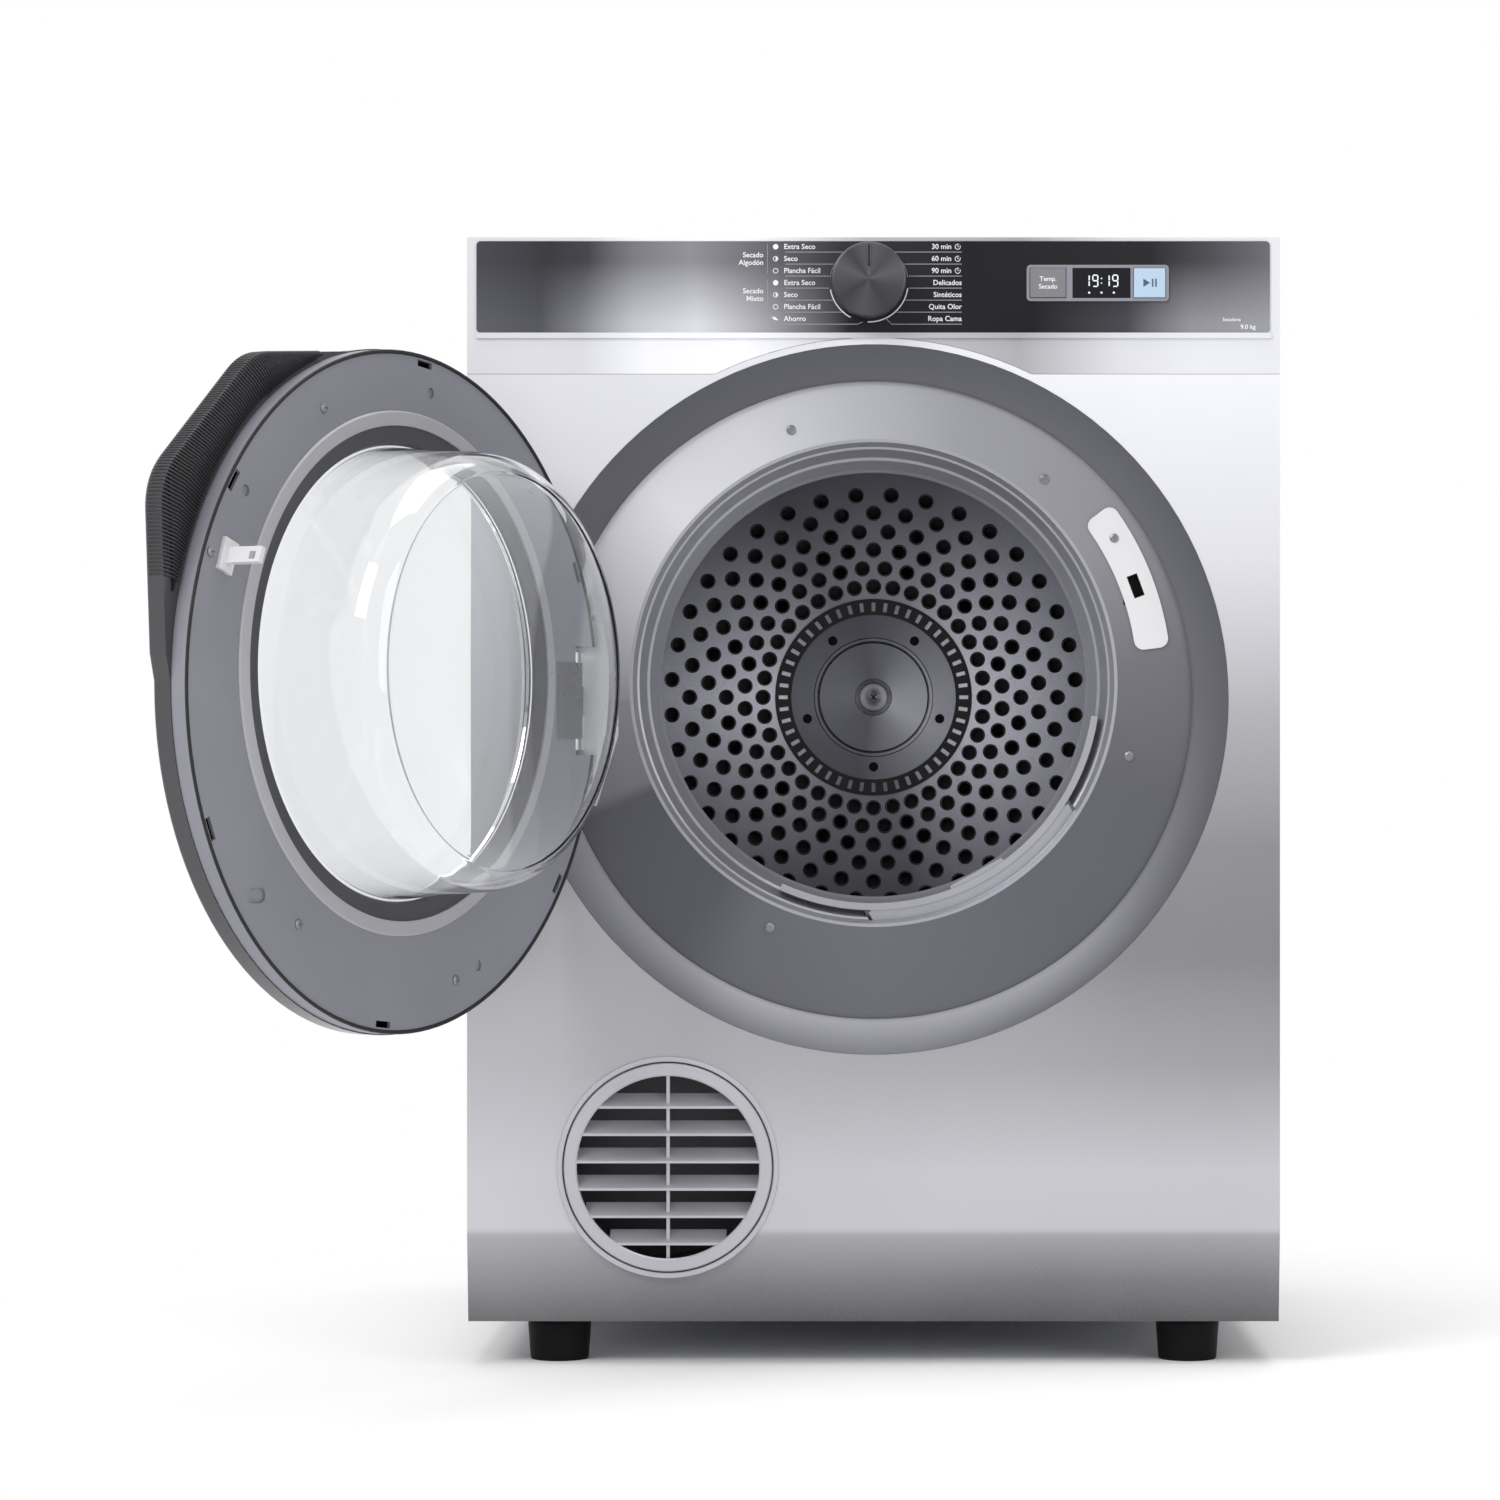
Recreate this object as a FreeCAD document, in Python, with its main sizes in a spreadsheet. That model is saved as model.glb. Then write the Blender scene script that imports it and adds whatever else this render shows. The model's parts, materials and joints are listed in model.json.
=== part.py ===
import FreeCAD, Part
import math
import os
import Sketcher

# Front-loading vented clothes dryer, door standing open.
# Frame: +X to the right seen from the front, +Y into the machine, +Z up.
# Origin: floor level, mid-width, in the plane of the front panel.

doc = FreeCAD.newDocument("ClothesDryer")
sheet = doc.addObject("Spreadsheet::Sheet", "Sizes")
Vec = FreeCAD.Vector
Rot = FreeCAD.Rotation
row_count = [0]
parts = []


class Size:
    """A number that also carries the spreadsheet expression it came from."""

    def __init__(self, value, text):
        self.value = float(value)
        self.text = text

    def _join(self, other, sign, swap=False):
        o = as_size(other)
        a, b = (o, self) if swap else (self, o)
        if sign == "+":
            v = a.value + b.value
        elif sign == "-":
            v = a.value - b.value
        elif sign == "*":
            v = a.value * b.value
        else:
            v = a.value / b.value
        return Size(v, "(" + a.text + " " + sign + " " + b.text + ")")

    def __add__(self, o):
        return self._join(o, "+")

    def __radd__(self, o):
        return self._join(o, "+", True)

    def __sub__(self, o):
        return self._join(o, "-")

    def __rsub__(self, o):
        return self._join(o, "-", True)

    def __mul__(self, o):
        return self._join(o, "*")

    def __rmul__(self, o):
        return self._join(o, "*", True)

    def __truediv__(self, o):
        return self._join(o, "/")

    def __rtruediv__(self, o):
        return self._join(o, "/", True)

    def __neg__(self):
        return Size(-self.value, "(0 - " + self.text + ")")


def as_size(v):
    if isinstance(v, Size):
        return v
    return Size(v, "({:.6f})".format(v))


def sine(a):
    a = as_size(a)
    return Size(math.sin(math.radians(a.value)), "sin(" + a.text + ")")


def cosine(a):
    a = as_size(a)
    return Size(math.cos(math.radians(a.value)), "cos(" + a.text + ")")


def root(a):
    a = as_size(a)
    return Size(math.sqrt(a.value), "sqrt(" + a.text + ")")


def size(name, value):
    """One independent size: a plain number in the sheet, under a word."""
    row_count[0] += 1
    cell = "A" + str(row_count[0])
    sheet.set(cell, str(value))
    sheet.setAlias(cell, name)
    return Size(value, "Sizes." + name)


def num(v):
    return v.value if isinstance(v, Size) else float(v)


def bind(obj, prop, v):
    if isinstance(v, Size) and "Sizes." in v.text:
        obj.setExpression(prop, v.text)


# ---------------------------------------------------------------- sketches

def tie(sk, kind, geo, pos, v):
    k = sk.addConstraint(Sketcher.Constraint(kind, -1, 1, geo, pos, num(v)))
    bind(sk, "Constraints[{}]".format(k), v)


def draw_polygon(sk, points):
    first = sk.GeometryCount
    n = len(points)
    for i in range(n):
        a = points[i]
        b = points[(i + 1) % n]
        sk.addGeometry(Part.LineSegment(Vec(num(a[0]), num(a[1]), 0), Vec(num(b[0]), num(b[1]), 0)))
    for i in range(n):
        sk.addConstraint(Sketcher.Constraint("Coincident", first + i, 2, first + (i + 1) % n, 1))
    for i in range(n):
        tie(sk, "DistanceX", first + i, 1, points[i][0])
        tie(sk, "DistanceY", first + i, 1, points[i][1])


def draw_circle(sk, cx, cy, r):
    g = sk.addGeometry(Part.Circle(Vec(num(cx), num(cy), 0), Vec(0, 0, 1), num(r)))
    tie(sk, "DistanceX", g, 3, cx)
    tie(sk, "DistanceY", g, 3, cy)
    k = sk.addConstraint(Sketcher.Constraint("Radius", g, num(r)))
    bind(sk, "Constraints[{}]".format(k), r)


def draw_round_box(sk, x0, y0, x1, y1, r):
    """A rectangle with rounded corners, named by two opposite corners and the radius."""
    first = sk.GeometryCount
    a, b, c, d, q = num(x0), num(y0), num(x1), num(y1), num(r)
    corners = [(a + q, b, c - q, b), (c, b + q, c, d - q), (c - q, d, a + q, d), (a, d - q, a, b + q)]
    centres = [(c - q, b + q, -90), (c - q, d - q, 0), (a + q, d - q, 90), (a + q, b + q, 180)]
    for line, mid in zip(corners, centres):
        sk.addGeometry(Part.LineSegment(Vec(line[0], line[1], 0), Vec(line[2], line[3], 0)))
        arc = Part.ArcOfCircle(
            Part.Circle(Vec(mid[0], mid[1], 0), Vec(0, 0, 1), q),
            math.radians(mid[2]),
            math.radians(mid[2] + 90),
        )
        sk.addGeometry(arc)
    for i in range(4):
        line = first + 2 * i
        arc = line + 1
        sk.addConstraint(Sketcher.Constraint("Tangent", line, 2, arc, 1))
        sk.addConstraint(Sketcher.Constraint("Tangent", arc, 2, first + (2 * i + 2) % 8, 1))
    tie(sk, "DistanceY", first, 1, y0)
    tie(sk, "DistanceX", first + 2, 1, x1)
    tie(sk, "DistanceY", first + 4, 1, y1)
    tie(sk, "DistanceX", first + 6, 1, x0)
    sk.addConstraint(Sketcher.Constraint("Horizontal", first))
    sk.addConstraint(Sketcher.Constraint("Vertical", first + 2))
    sk.addConstraint(Sketcher.Constraint("Horizontal", first + 4))
    for i in range(3):
        sk.addConstraint(Sketcher.Constraint("Equal", first + 1, first + 3 + 2 * i))
    k = sk.addConstraint(Sketcher.Constraint("Radius", first + 1, q))
    bind(sk, "Constraints[{}]".format(k), r)


def draw_belt_loop(sk, ax, ay, ar, bx, by, br):
    """A taut loop round two circles: two arcs and the two outer tangents."""
    axv, ayv, arv, bxv, byv, brv = [num(v) for v in (ax, ay, ar, bx, by, br)]
    first = sk.GeometryCount
    gap = math.hypot(bxv - axv, byv - ayv)
    heading = math.atan2(byv - ayv, bxv - axv)
    open_angle = math.acos((arv - brv) / gap)
    lo = heading - open_angle
    hi = heading + open_angle
    big = Part.ArcOfCircle(Part.Circle(Vec(axv, ayv, 0), Vec(0, 0, 1), arv), hi, lo + 2 * math.pi)
    small = Part.ArcOfCircle(Part.Circle(Vec(bxv, byv, 0), Vec(0, 0, 1), brv), lo, hi)
    one = Part.LineSegment(
        Vec(axv + arv * math.cos(lo), ayv + arv * math.sin(lo), 0),
        Vec(bxv + brv * math.cos(lo), byv + brv * math.sin(lo), 0),
    )
    two = Part.LineSegment(
        Vec(bxv + brv * math.cos(hi), byv + brv * math.sin(hi), 0),
        Vec(axv + arv * math.cos(hi), ayv + arv * math.sin(hi), 0),
    )
    for g in (big, one, small, two):
        sk.addGeometry(g)
    for i in range(4):
        sk.addConstraint(Sketcher.Constraint("Tangent", first + i, 2, first + (i + 1) % 4, 1))
    tie(sk, "DistanceX", first, 3, ax)
    tie(sk, "DistanceY", first, 3, ay)
    tie(sk, "DistanceX", first + 2, 3, bx)
    tie(sk, "DistanceY", first + 2, 3, by)
    for geo, r in ((first, ar), (first + 2, br)):
        k = sk.addConstraint(Sketcher.Constraint("Radius", geo, num(r)))
        bind(sk, "Constraints[{}]".format(k), r)


def draw(sk, shapes):
    for s in shapes:
        if s[0] == "circle":
            draw_circle(sk, s[1], s[2], s[3])
        elif s[0] == "round_box":
            draw_round_box(sk, s[1], s[2], s[3], s[4], s[5])
        elif s[0] == "loop":
            draw_belt_loop(sk, s[1], s[2], s[3], s[4], s[5], s[6])
        else:
            draw_polygon(sk, s[1])


def sketch_on(body, role, level, shapes):
    sk = body.newObject("Sketcher::SketchObject", "Sketch")
    plane = [f for f in body.Origin.OriginFeatures if f.Role == role][0]
    sk.AttachmentSupport = [(plane, "")]
    sk.MapMode = "FlatFace"
    sk.AttachmentOffset = FreeCAD.Placement(Vec(0, 0, num(level)), Rot())
    bind(sk, "AttachmentOffset.Base.z", level)
    draw(sk, shapes)
    return sk


# ------------------------------------------------------------------ bodies

def new_body(label, turn=None, at=(0, 0, 0), listed=True):
    body = doc.addObject("PartDesign::Body", "Body")
    body.Label = label
    spin = turn if turn is not None else Rot()
    body.Placement = FreeCAD.Placement(Vec(num(at[0]), num(at[1]), num(at[2])), spin)
    for axis, v in zip("xyz", at):
        bind(body, "Placement.Base." + axis, v)
    if listed:
        parts.append(body)
    return body


STAND = Rot(Vec(1, 0, 0), 90)


def front_body(label, x=0, z=0, listed=True):
    """Drawn as seen from the front: sketch X is +X, sketch Y is +Z, depth is -Z of the body."""
    return new_body(label, STAND, (x, 0, z), listed)


def slab(body, shapes, y0, y1):
    """Material from depth y0 to depth y1 of a front body."""
    sk = sketch_on(body, "XY_Plane", -as_size(y1), shapes)
    pad = body.newObject("PartDesign::Pad", "Pad")
    pad.Profile = sk
    pad.Length = num(y1) - num(y0)
    bind(pad, "Length", as_size(y1) - as_size(y0))
    return pad


def window(body, shapes, y0, y1):
    """Opening cut from depth y0 to depth y1 of a front body."""
    sk = sketch_on(body, "XY_Plane", -as_size(y0), shapes)
    cut = body.newObject("PartDesign::Pocket", "Pocket")
    cut.Profile = sk
    cut.Length = num(y1) - num(y0)
    bind(cut, "Length", as_size(y1) - as_size(y0))
    return cut


def turned(body, profile, cut=False):
    """Revolved about the front body's own depth axis; the profile is (radius, depth)."""
    points = [(p[0], -as_size(p[1])) for p in profile]
    sk = sketch_on(body, "XZ_Plane", 0, [("polygon", points)])
    kind = "PartDesign::Groove" if cut else "PartDesign::Revolution"
    f = body.newObject(kind, "Turned")
    f.Profile = sk
    f.ReferenceAxis = (sk, ["V_Axis"])
    f.Angle = 360.0
    return f


def run(body, role, shapes, start, length, cut=False):
    """Straight run of a profile: pad (or pocket) from start, along the plane's normal."""
    sk = sketch_on(body, role, start, shapes)
    f = body.newObject("PartDesign::Pocket" if cut else "PartDesign::Pad", "Run")
    f.Profile = sk
    f.Length = num(length)
    bind(f, "Length", length)
    if cut:
        f.Reversed = True
    return f


def ring_of(body, feature, count):
    """Repeats a feature evenly round the front body's depth axis."""
    pat = body.newObject("PartDesign::PolarPattern", "Ring")
    axis = [f for f in body.Origin.OriginFeatures if f.Role == "Z_Axis"][0]
    pat.Originals = [feature]
    pat.Axis = (axis, [""])
    pat.Angle = 360.0
    pat.Occurrences = count
    body.Tip = pat
    return pat


def soften(body, feature, radius, test):
    """Rounds the edges of the feature whose midpoint passes the test."""
    doc.recompute()
    names = []
    for i, e in enumerate(feature.Shape.Edges):
        mid = e.valueAt((e.FirstParameter + e.LastParameter) / 2)
        d = e.tangentAt((e.FirstParameter + e.LastParameter) / 2)
        if test(mid, d, e):
            names.append("Edge{}".format(i + 1))
    f = body.newObject("PartDesign::Fillet", "Softened")
    f.Base = (feature, names)
    f.Radius = num(radius)
    bind(f, "Radius", radius)
    body.Tip = f
    return f


def box(x0, y0, x1, y1):
    return ("polygon", [(x0, y0), (x1, y0), (x1, y1), (x0, y1)])


def rod(x, y, z, r, length, way):
    """A plain cylinder; way is the direction it grows from its foot."""
    c = doc.addObject("Part::Cylinder", "Rod")
    c.Radius = num(r)
    bind(c, "Radius", r)
    c.Height = num(length)
    bind(c, "Height", length)
    c.Placement = FreeCAD.Placement(Vec(num(x), num(y), num(z)), Rot(Vec(0, 0, 1), way))
    for axis, v in zip("xyz", (x, y, z)):
        bind(c, "Placement.Base." + axis, v)
    return c


def block(x0, y0, z0, x1, y1, z1):
    b = doc.addObject("Part::Box", "Block")
    for prop, lo, hi in (("Length", x0, x1), ("Width", y0, y1), ("Height", z0, z1)):
        setattr(b, prop, num(hi) - num(lo))
        bind(b, prop, as_size(hi) - as_size(lo))
    b.Placement.Base = Vec(num(x0), num(y0), num(z0))
    for axis, v in zip("xyz", (x0, y0, z0)):
        bind(b, "Placement.Base." + axis, v)
    return b


def joined(label, pieces, listed=True):
    if len(pieces) == 1:
        f = pieces[0]
    else:
        f = doc.addObject("Part::MultiFuse", "Joined")
        f.Shapes = pieces
    f.Label = label
    if listed:
        parts.append(f)
    return f


def less(label, whole, cutters, listed=True):
    f = doc.addObject("Part::Cut", "Less")
    f.Base = whole
    f.Tool = cutters[0] if len(cutters) == 1 else joined("cutters of " + label, cutters, False)
    f.Label = label
    if listed:
        parts.append(f)
    return f


def grouped(label, pieces):
    f = doc.addObject("Part::Compound", "Group")
    f.Links = pieces
    f.Label = label
    parts.append(f)
    return f


X = Vec(1, 0, 0)
Y = Vec(0, 1, 0)
Z = Vec(0, 0, 1)

# ------------------------------------------------------------------- sizes

cab_w = size("cabinet_width", 595.0)
cab_d = size("cabinet_depth", 560.0)
cab_top = size("cabinet_top", 826.0)
foot_h = size("foot_height", 31.5)
gauge = size("sheet_gauge", 1.2)
edge_d = size("front_edge_depth", 14.0)
plinth_z = size("plinth_crease_height", 98.0)
plinth_in = size("plinth_setback", 10.0)
seam_z = size("fascia_seam_height", 726.0)
top_t = size("top_cover_thickness", 14.0)
ring_z = size("door_ring_height", 487.7)
ring_r = size("door_ring_radius", 260.0)
arch_gap = size("fascia_arch_margin", 5.0)
funnel_in = size("funnel_inner_radius", 235.0)
funnel_d = size("funnel_depth", 22.0)
drum_z = size("drum_axis_height", 500.5)
collar_r = size("collar_front_radius", 177.6)
throat_r = size("collar_throat_radius", 158.5)
throat_d = size("collar_throat_depth", 74.0)
drum_r = size("drum_radius", 270.0)
drum_front = size("drum_front_depth", 70.0)
lip_in = size("drum_lip_inset", 16.0)
drum_back_d = size("drum_back_depth", 455.0)
door_r = size("door_radius", 235.0)
door_front_d = size("door_front_stand", 18.0)
door_back_d = size("door_back_depth", 8.0)
door_open = size("door_open_angle", 120.6)
hinge_x = size("hinge_offset", 221.0)
hinge_d = size("hinge_stand", 5.0)
glass_r = size("window_radius", 176.0)
bowl_r = size("bowl_mouth_radius", 156.5)
bowl_end_r = size("bowl_end_radius", 149.0)
bowl_d = size("bowl_end_depth", 96.0)
knob_r = size("knob_radius", 27.0)
knob_d = size("knob_stand", 28.0)
knob_x = size("knob_offset", 3.3)
knob_z = size("knob_height", 792.5)
bezel_x0 = size("bezel_left", 112.0)
bezel_x1 = size("bezel_right", 216.0)
bezel_z0 = size("bezel_bottom", 779.0)
bezel_z1 = size("bezel_top", 805.5)
vent_x = size("vent_offset", 150.5)
vent_z = size("vent_height", 145.3)
vent_r = size("vent_trim_radius", 81.3)
motor_x = size("motor_offset", 175.0)
motor_z = size("motor_height", 120.0)
pulley_r = size("pulley_radius", 12.0)
belt_d = size("belt_depth", 380.0)
belt_w = size("belt_width", 10.0)
belt_t = size("belt_thickness", 2.0)
play = size("curved_play", 0.3)
bearing_play = size("bearing_play", 0.05)
foot_r = size("foot_radius", 23.5)
foot_x = size("foot_offset", 233.0)
foot_front = size("front_foot_depth", 48.0)
foot_back = size("rear_foot_depth", 510.0)
overlay_t = size("overlay_thickness", 1.2)
latch_angle = size("latch_angle", 20.3)
latch_r = size("latch_radius", 206.0)
filter_tilt = size("filter_tilt", 28.5)
hole_r = size("drum_hole_radius", 5.0)

half_w = cab_w / 2
inside_w = half_w - gauge
pan_z = foot_h + gauge
lid_z = cab_top - top_t
hinge_px = -hinge_x
hinge_py = -hinge_d
plate_d = funnel_d + 2
lip_r = drum_r - lip_in
neck_r = vent_r - 10.3
knob_px = -knob_x
vent_px = -vent_x

# ---------------------------------------------------------- cabinet panels

front = new_body("front_panel")
skin = [
    (0, plinth_z), (0, seam_z - play), (gauge, seam_z - play), (gauge, plinth_z),
    (plinth_in + gauge, foot_h + gauge), (edge_d, foot_h + gauge), (edge_d, foot_h), (plinth_in, foot_h),
]
run(front, "YZ_Plane", [("polygon", skin)], -half_w, cab_w)
cheek = [(0, plinth_z), (0, seam_z - play), (edge_d, seam_z - play), (edge_d, foot_h), (plinth_in, foot_h)]
run(front, "YZ_Plane", [("polygon", cheek)], -half_w, gauge)
run(front, "YZ_Plane", [("polygon", cheek)], half_w - gauge, gauge)
arch_r = ring_r + arch_gap
sk = sketch_on(front, "XZ_Plane", -as_size(gauge), [("circle", 0, ring_z, arch_r - play)])
arch = front.newObject("PartDesign::Pad", "Arch")
arch.Profile = sk
arch.Length = num(gauge)
bind(arch, "Length", gauge)
hole = sketch_on(front, "XZ_Plane", 1, [("circle", 0, ring_z, ring_r), ("circle", vent_px, vent_z, vent_r - 2.3)])
opening = front.newObject("PartDesign::Pocket", "Openings")
opening.Profile = hole
opening.Length = 12.0


def side_panel(label, side):
    body = new_body(label)
    turn_in = half_w - 26
    r = 8
    wall = [
        (side * half_w, foot_h + r), (side * half_w, lid_z), (side * turn_in, lid_z),
        (side * turn_in, lid_z - gauge), (side * inside_w, lid_z - gauge), (side * inside_w, foot_h + r),
        (side * (half_w - r), foot_h + gauge), (side * turn_in, foot_h + gauge), (side * turn_in, foot_h),
        (side * (half_w - r), foot_h),
    ]
    sk = sketch_on(body, "XZ_Plane", -as_size(edge_d), [("polygon", wall)])
    pad = body.newObject("PartDesign::Pad", "Wall")
    pad.Profile = sk
    pad.Length = num(cab_d - edge_d)
    pad.Reversed = True
    bind(pad, "Length", cab_d - edge_d)
    return body


side_panel("side_panel_left", -1)
side_panel("side_panel_right", 1)

rear = front_body("rear_panel")
slab(rear, [box(-inside_w, foot_h + 8, inside_w, lid_z - gauge)], cab_d - gauge, cab_d)
slab(rear, [("round_box", -80, 180, 80, 310, 10)], cab_d, cab_d + 2)
window(rear, [("round_box", -64, 192 + 14 * k, 64, 199 + 14 * k, 3) for k in range(8)],
       cab_d - gauge - 1, cab_d + 3)

pan = new_body("base_pan")
tray_w = half_w - 9.5
tray = [
    (-tray_w, pan_z), (tray_w, pan_z), (tray_w, pan_z + 24), (tray_w - 1.5, pan_z + 24),
    (tray_w - 1.5, pan_z + 1.5), (-tray_w + 1.5, pan_z + 1.5), (-tray_w + 1.5, pan_z + 24), (-tray_w, pan_z + 24),
]
sk = sketch_on(pan, "XZ_Plane", -as_size(edge_d - 2), [("polygon", tray)])
floor = pan.newObject("PartDesign::Pad", "Tray")
floor.Profile = sk
floor.Length = num(cab_d - gauge - edge_d + 2)
floor.Reversed = True
bind(floor, "Length", cab_d - gauge - edge_d + 2)
feet_at = [(-foot_x, foot_front), (foot_x, foot_front), (-foot_x, foot_back), (foot_x, foot_back)]
sk = sketch_on(pan, "XY_Plane", pan_z - 1, [("circle", p[0], p[1], 5) for p in feet_at])
studs = pan.newObject("PartDesign::Pocket", "StudHoles")
studs.Profile = sk
studs.Length = 4.0
studs.Reversed = True

lid = new_body("top_cover")
lid_pad = run(lid, "XY_Plane", [box(-half_w, edge_d, half_w, cab_d + 3)], lid_z, top_t)
soften(lid, lid_pad, 3, lambda m, d, e: m.z > num(cab_top) - 0.01 and (abs(m.x) > num(half_w) - 0.01 or m.y > 500))
run(lid, "XY_Plane", [box(-half_w + gauge, edge_d + gauge, half_w - gauge, cab_d + 3 - gauge)],
    lid_z - 1, top_t - gauge + 1, True)

def foot(p):
    f = new_body("foot", None, (p[0], p[1], 0), False)
    t = foot_r - 2.5
    prof = [
        (0, 0), (t, 0), (t + 0.6, 1.5), (foot_r, foot_h - 4), (foot_r - 1, foot_h), (12, foot_h),
        (12, pan_z), (5, pan_z), (5, pan_z + 12), (0, pan_z + 12),
    ]
    s = sketch_on(f, "XZ_Plane", 0, [("polygon", prof)])
    t = f.newObject("PartDesign::Revolution", "Turned")
    t.Profile = s
    t.ReferenceAxis = (s, ["V_Axis"])
    t.Angle = 360.0
    return f


grouped("feet", [foot(p) for p in feet_at])

# ------------------------------------------------------------ control area

fascia = front_body("control_fascia")
shell = slab(fascia, [box(-half_w, seam_z, half_w, cab_top)], 0, edge_d)
window(fascia, [box(-half_w + 2.5, seam_z + 2.5, half_w - 2.5, cab_top - 2.5)], 2.5, edge_d + 1)
window(fascia, [("circle", 0, ring_z, arch_r)], -1, edge_d + 1)
window(fascia, [("circle", 0, ring_z, ring_r + 9 + play)], gauge, edge_d + 1)
window(fascia, [("circle", knob_px, knob_z, 4), box(bezel_x0 + 1, bezel_z0 + 1, bezel_x1 - 1, bezel_z1 - 1)],
       -1, edge_d)
post = []
for px in (bezel_x0 - 6, bezel_x1 + 6):
    for pz in (bezel_z0 + 2, bezel_z1 - 2):
        post.append(("circle", px, pz, 3))
slab(fascia, post, 2.5, 12)
slab(fascia, [box(-291, 752, 291, 756)], -2, 0.5)
slab(fascia, [("round_box", knob_px - 16, knob_z - 16, knob_px - 8, knob_z + 16, 1),
              ("round_box", knob_px + 8, knob_z - 16, knob_px + 16, knob_z + 16, 1)], 2.5, 5)

overlay = front_body("control_overlay")
slab(overlay, [("round_box", -290.5, 756, 290, 823, 3)], -overlay_t, 0)
window(overlay, [("circle", knob_px, knob_z, 4), box(bezel_x0 + 1, bezel_z0 + 1, bezel_x1 - 1, bezel_z1 - 1)],
       -overlay_t - 1, 1)

bezel_d0 = -overlay_t - 1.4
bezel = front_body("button_bezel")
slab(bezel, [("round_box", bezel_x0, bezel_z0, bezel_x1, bezel_z1, 3)], bezel_d0, -overlay_t)
slab(bezel, [box(bezel_x0 + 1, bezel_z0 + 1, bezel_x1 - 1, bezel_z1 - 1)], -overlay_t, 6)
temp_x1 = bezel_x0 + 29
clock_x0 = bezel_x0 + 33.5
clock_x1 = bezel_x1 - 28
start_x0 = bezel_x1 - 26
button_z0 = bezel_z0 + 2.2
button_z1 = bezel_z1 - 2.2
window(bezel, [box(bezel_x0 + 2.2, button_z0, temp_x1, button_z1), box(clock_x0, button_z0, clock_x1, button_z1),
               box(start_x0, button_z0, bezel_x1 - 2.2, button_z1)], bezel_d0 - 1, 7)

pane = front_body("display_window")
slab(pane, [box(clock_x0, button_z0, clock_x1, button_z1)], -2.2, 3)


def push_button(label, x0, x1):
    b = front_body(label)
    gap = 0.35
    cap = slab(b, [box(x0 + gap, button_z0 + gap, x1 - gap, button_z1 - gap)], -3.8, 6.4)
    soften(b, cap, 0.7, lambda m, d, e: m.z > 3.79)
    slab(b, [box(x0 - 1.4, button_z0 - 1.2, x1 + 1.4, button_z1 + 1.2)], 6.3, 7.8)


push_button("temp_button", bezel_x0 + 2.2, temp_x1)
push_button("start_button", start_x0, bezel_x1 - 2.2)

board = front_body("control_board")
slab(board, [box(bezel_x0 - 14, bezel_z0 - 14, bezel_x1 + 14, bezel_z1 + 3)], 12, 13.6)
slab(board, [box(clock_x0 + 2, button_z0 + 1, clock_x1 - 2, button_z1 - 1)], 3, 12)
slab(board, [box(bezel_x0 + 12, bezel_z0 + 10, bezel_x0 + 18, bezel_z0 + 16),
             box(bezel_x1 - 18, bezel_z0 + 10, bezel_x1 - 12, bezel_z0 + 16)], 9.6, 12)
slab(board, [box(bezel_x0 - 8, bezel_z0 - 10, bezel_x0 + 30, bezel_z0 + 4),
             box(bezel_x1 - 40, bezel_z0 - 10, bezel_x1 - 10, bezel_z0 + 2)], 13.6, 28)

switch = front_body("selector_switch", knob_px, knob_z)
slab(switch, [("round_box", -16, -16, 16, 16, 3)], 5, 22)
window(switch, [("circle", 0, 0, 3 + bearing_play)], 4, 23)

knob = front_body("programme_knob", knob_px, knob_z)
turned(knob, [
    (0, -knob_d), (knob_r - 1.6, -knob_d), (knob_r - 0.4, -knob_d + 0.5), (knob_r, -knob_d + 1.8),
    (knob_r - 0.8, -1.6), (knob_r - 2.8, -1.6), (knob_r - 2.8, -knob_d + 2.5), (8, -knob_d + 2.5), (8, -6),
    (3, -6), (3, -knob_d + 2.5), (0, -knob_d + 2.5),
])
slab(knob, [("circle", 0, 0, 3)], -knob_d + 2.5, 20)
slab(knob, [("round_box", -1.3, 11, 1.3, knob_r - 0.6, 0.8)], -knob_d - 1.2, -knob_d + 0.2)

# ------------------------------------------------- door ring, plate, collar

trim = front_body("door_ring_trim", 0, ring_z)
turned(trim, [
    (ring_r - play, 0), (funnel_in + 1.5, funnel_d - 3), (funnel_in, funnel_d - 1.4), (funnel_in, plate_d),
    (funnel_in + 4, plate_d), (ring_r + 1.5, 3.6), (ring_r + 9, 3.6), (ring_r + 9, gauge), (ring_r - play, gauge),
])

collar = front_body("opening_collar", 0, drum_z)
flare = [
    (collar_r + 2.4, plate_d), (collar_r, plate_d), (collar_r - 3, plate_d + 7), (collar_r - 4.6, plate_d + 8),
    (collar_r - 9.5, plate_d + 25), (collar_r - 11.5, plate_d + 26.5), (throat_r + 2, throat_d - 9),
    (throat_r, throat_d - 6), (throat_r, throat_d), (throat_r + 3, throat_d), (throat_r + 5, throat_d - 7),
    (collar_r - 6.5, plate_d + 25), (collar_r + 2.4, plate_d + 4),
]
turned(collar, flare)
window(collar, [("polygon", [
    (-86.5 * cosine(filter_tilt) + 140 * sine(filter_tilt), -86.5 * sine(filter_tilt) - 140 * cosine(filter_tilt)),
    (86.5 * cosine(filter_tilt) + 140 * sine(filter_tilt), 86.5 * sine(filter_tilt) - 140 * cosine(filter_tilt)),
    (86.5 * cosine(filter_tilt) + 200 * sine(filter_tilt), 86.5 * sine(filter_tilt) - 200 * cosine(filter_tilt)),
    (-86.5 * cosine(filter_tilt) + 200 * sine(filter_tilt), -86.5 * sine(filter_tilt) - 200 * cosine(filter_tilt)),
])], 29.2, 46.8)

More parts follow.
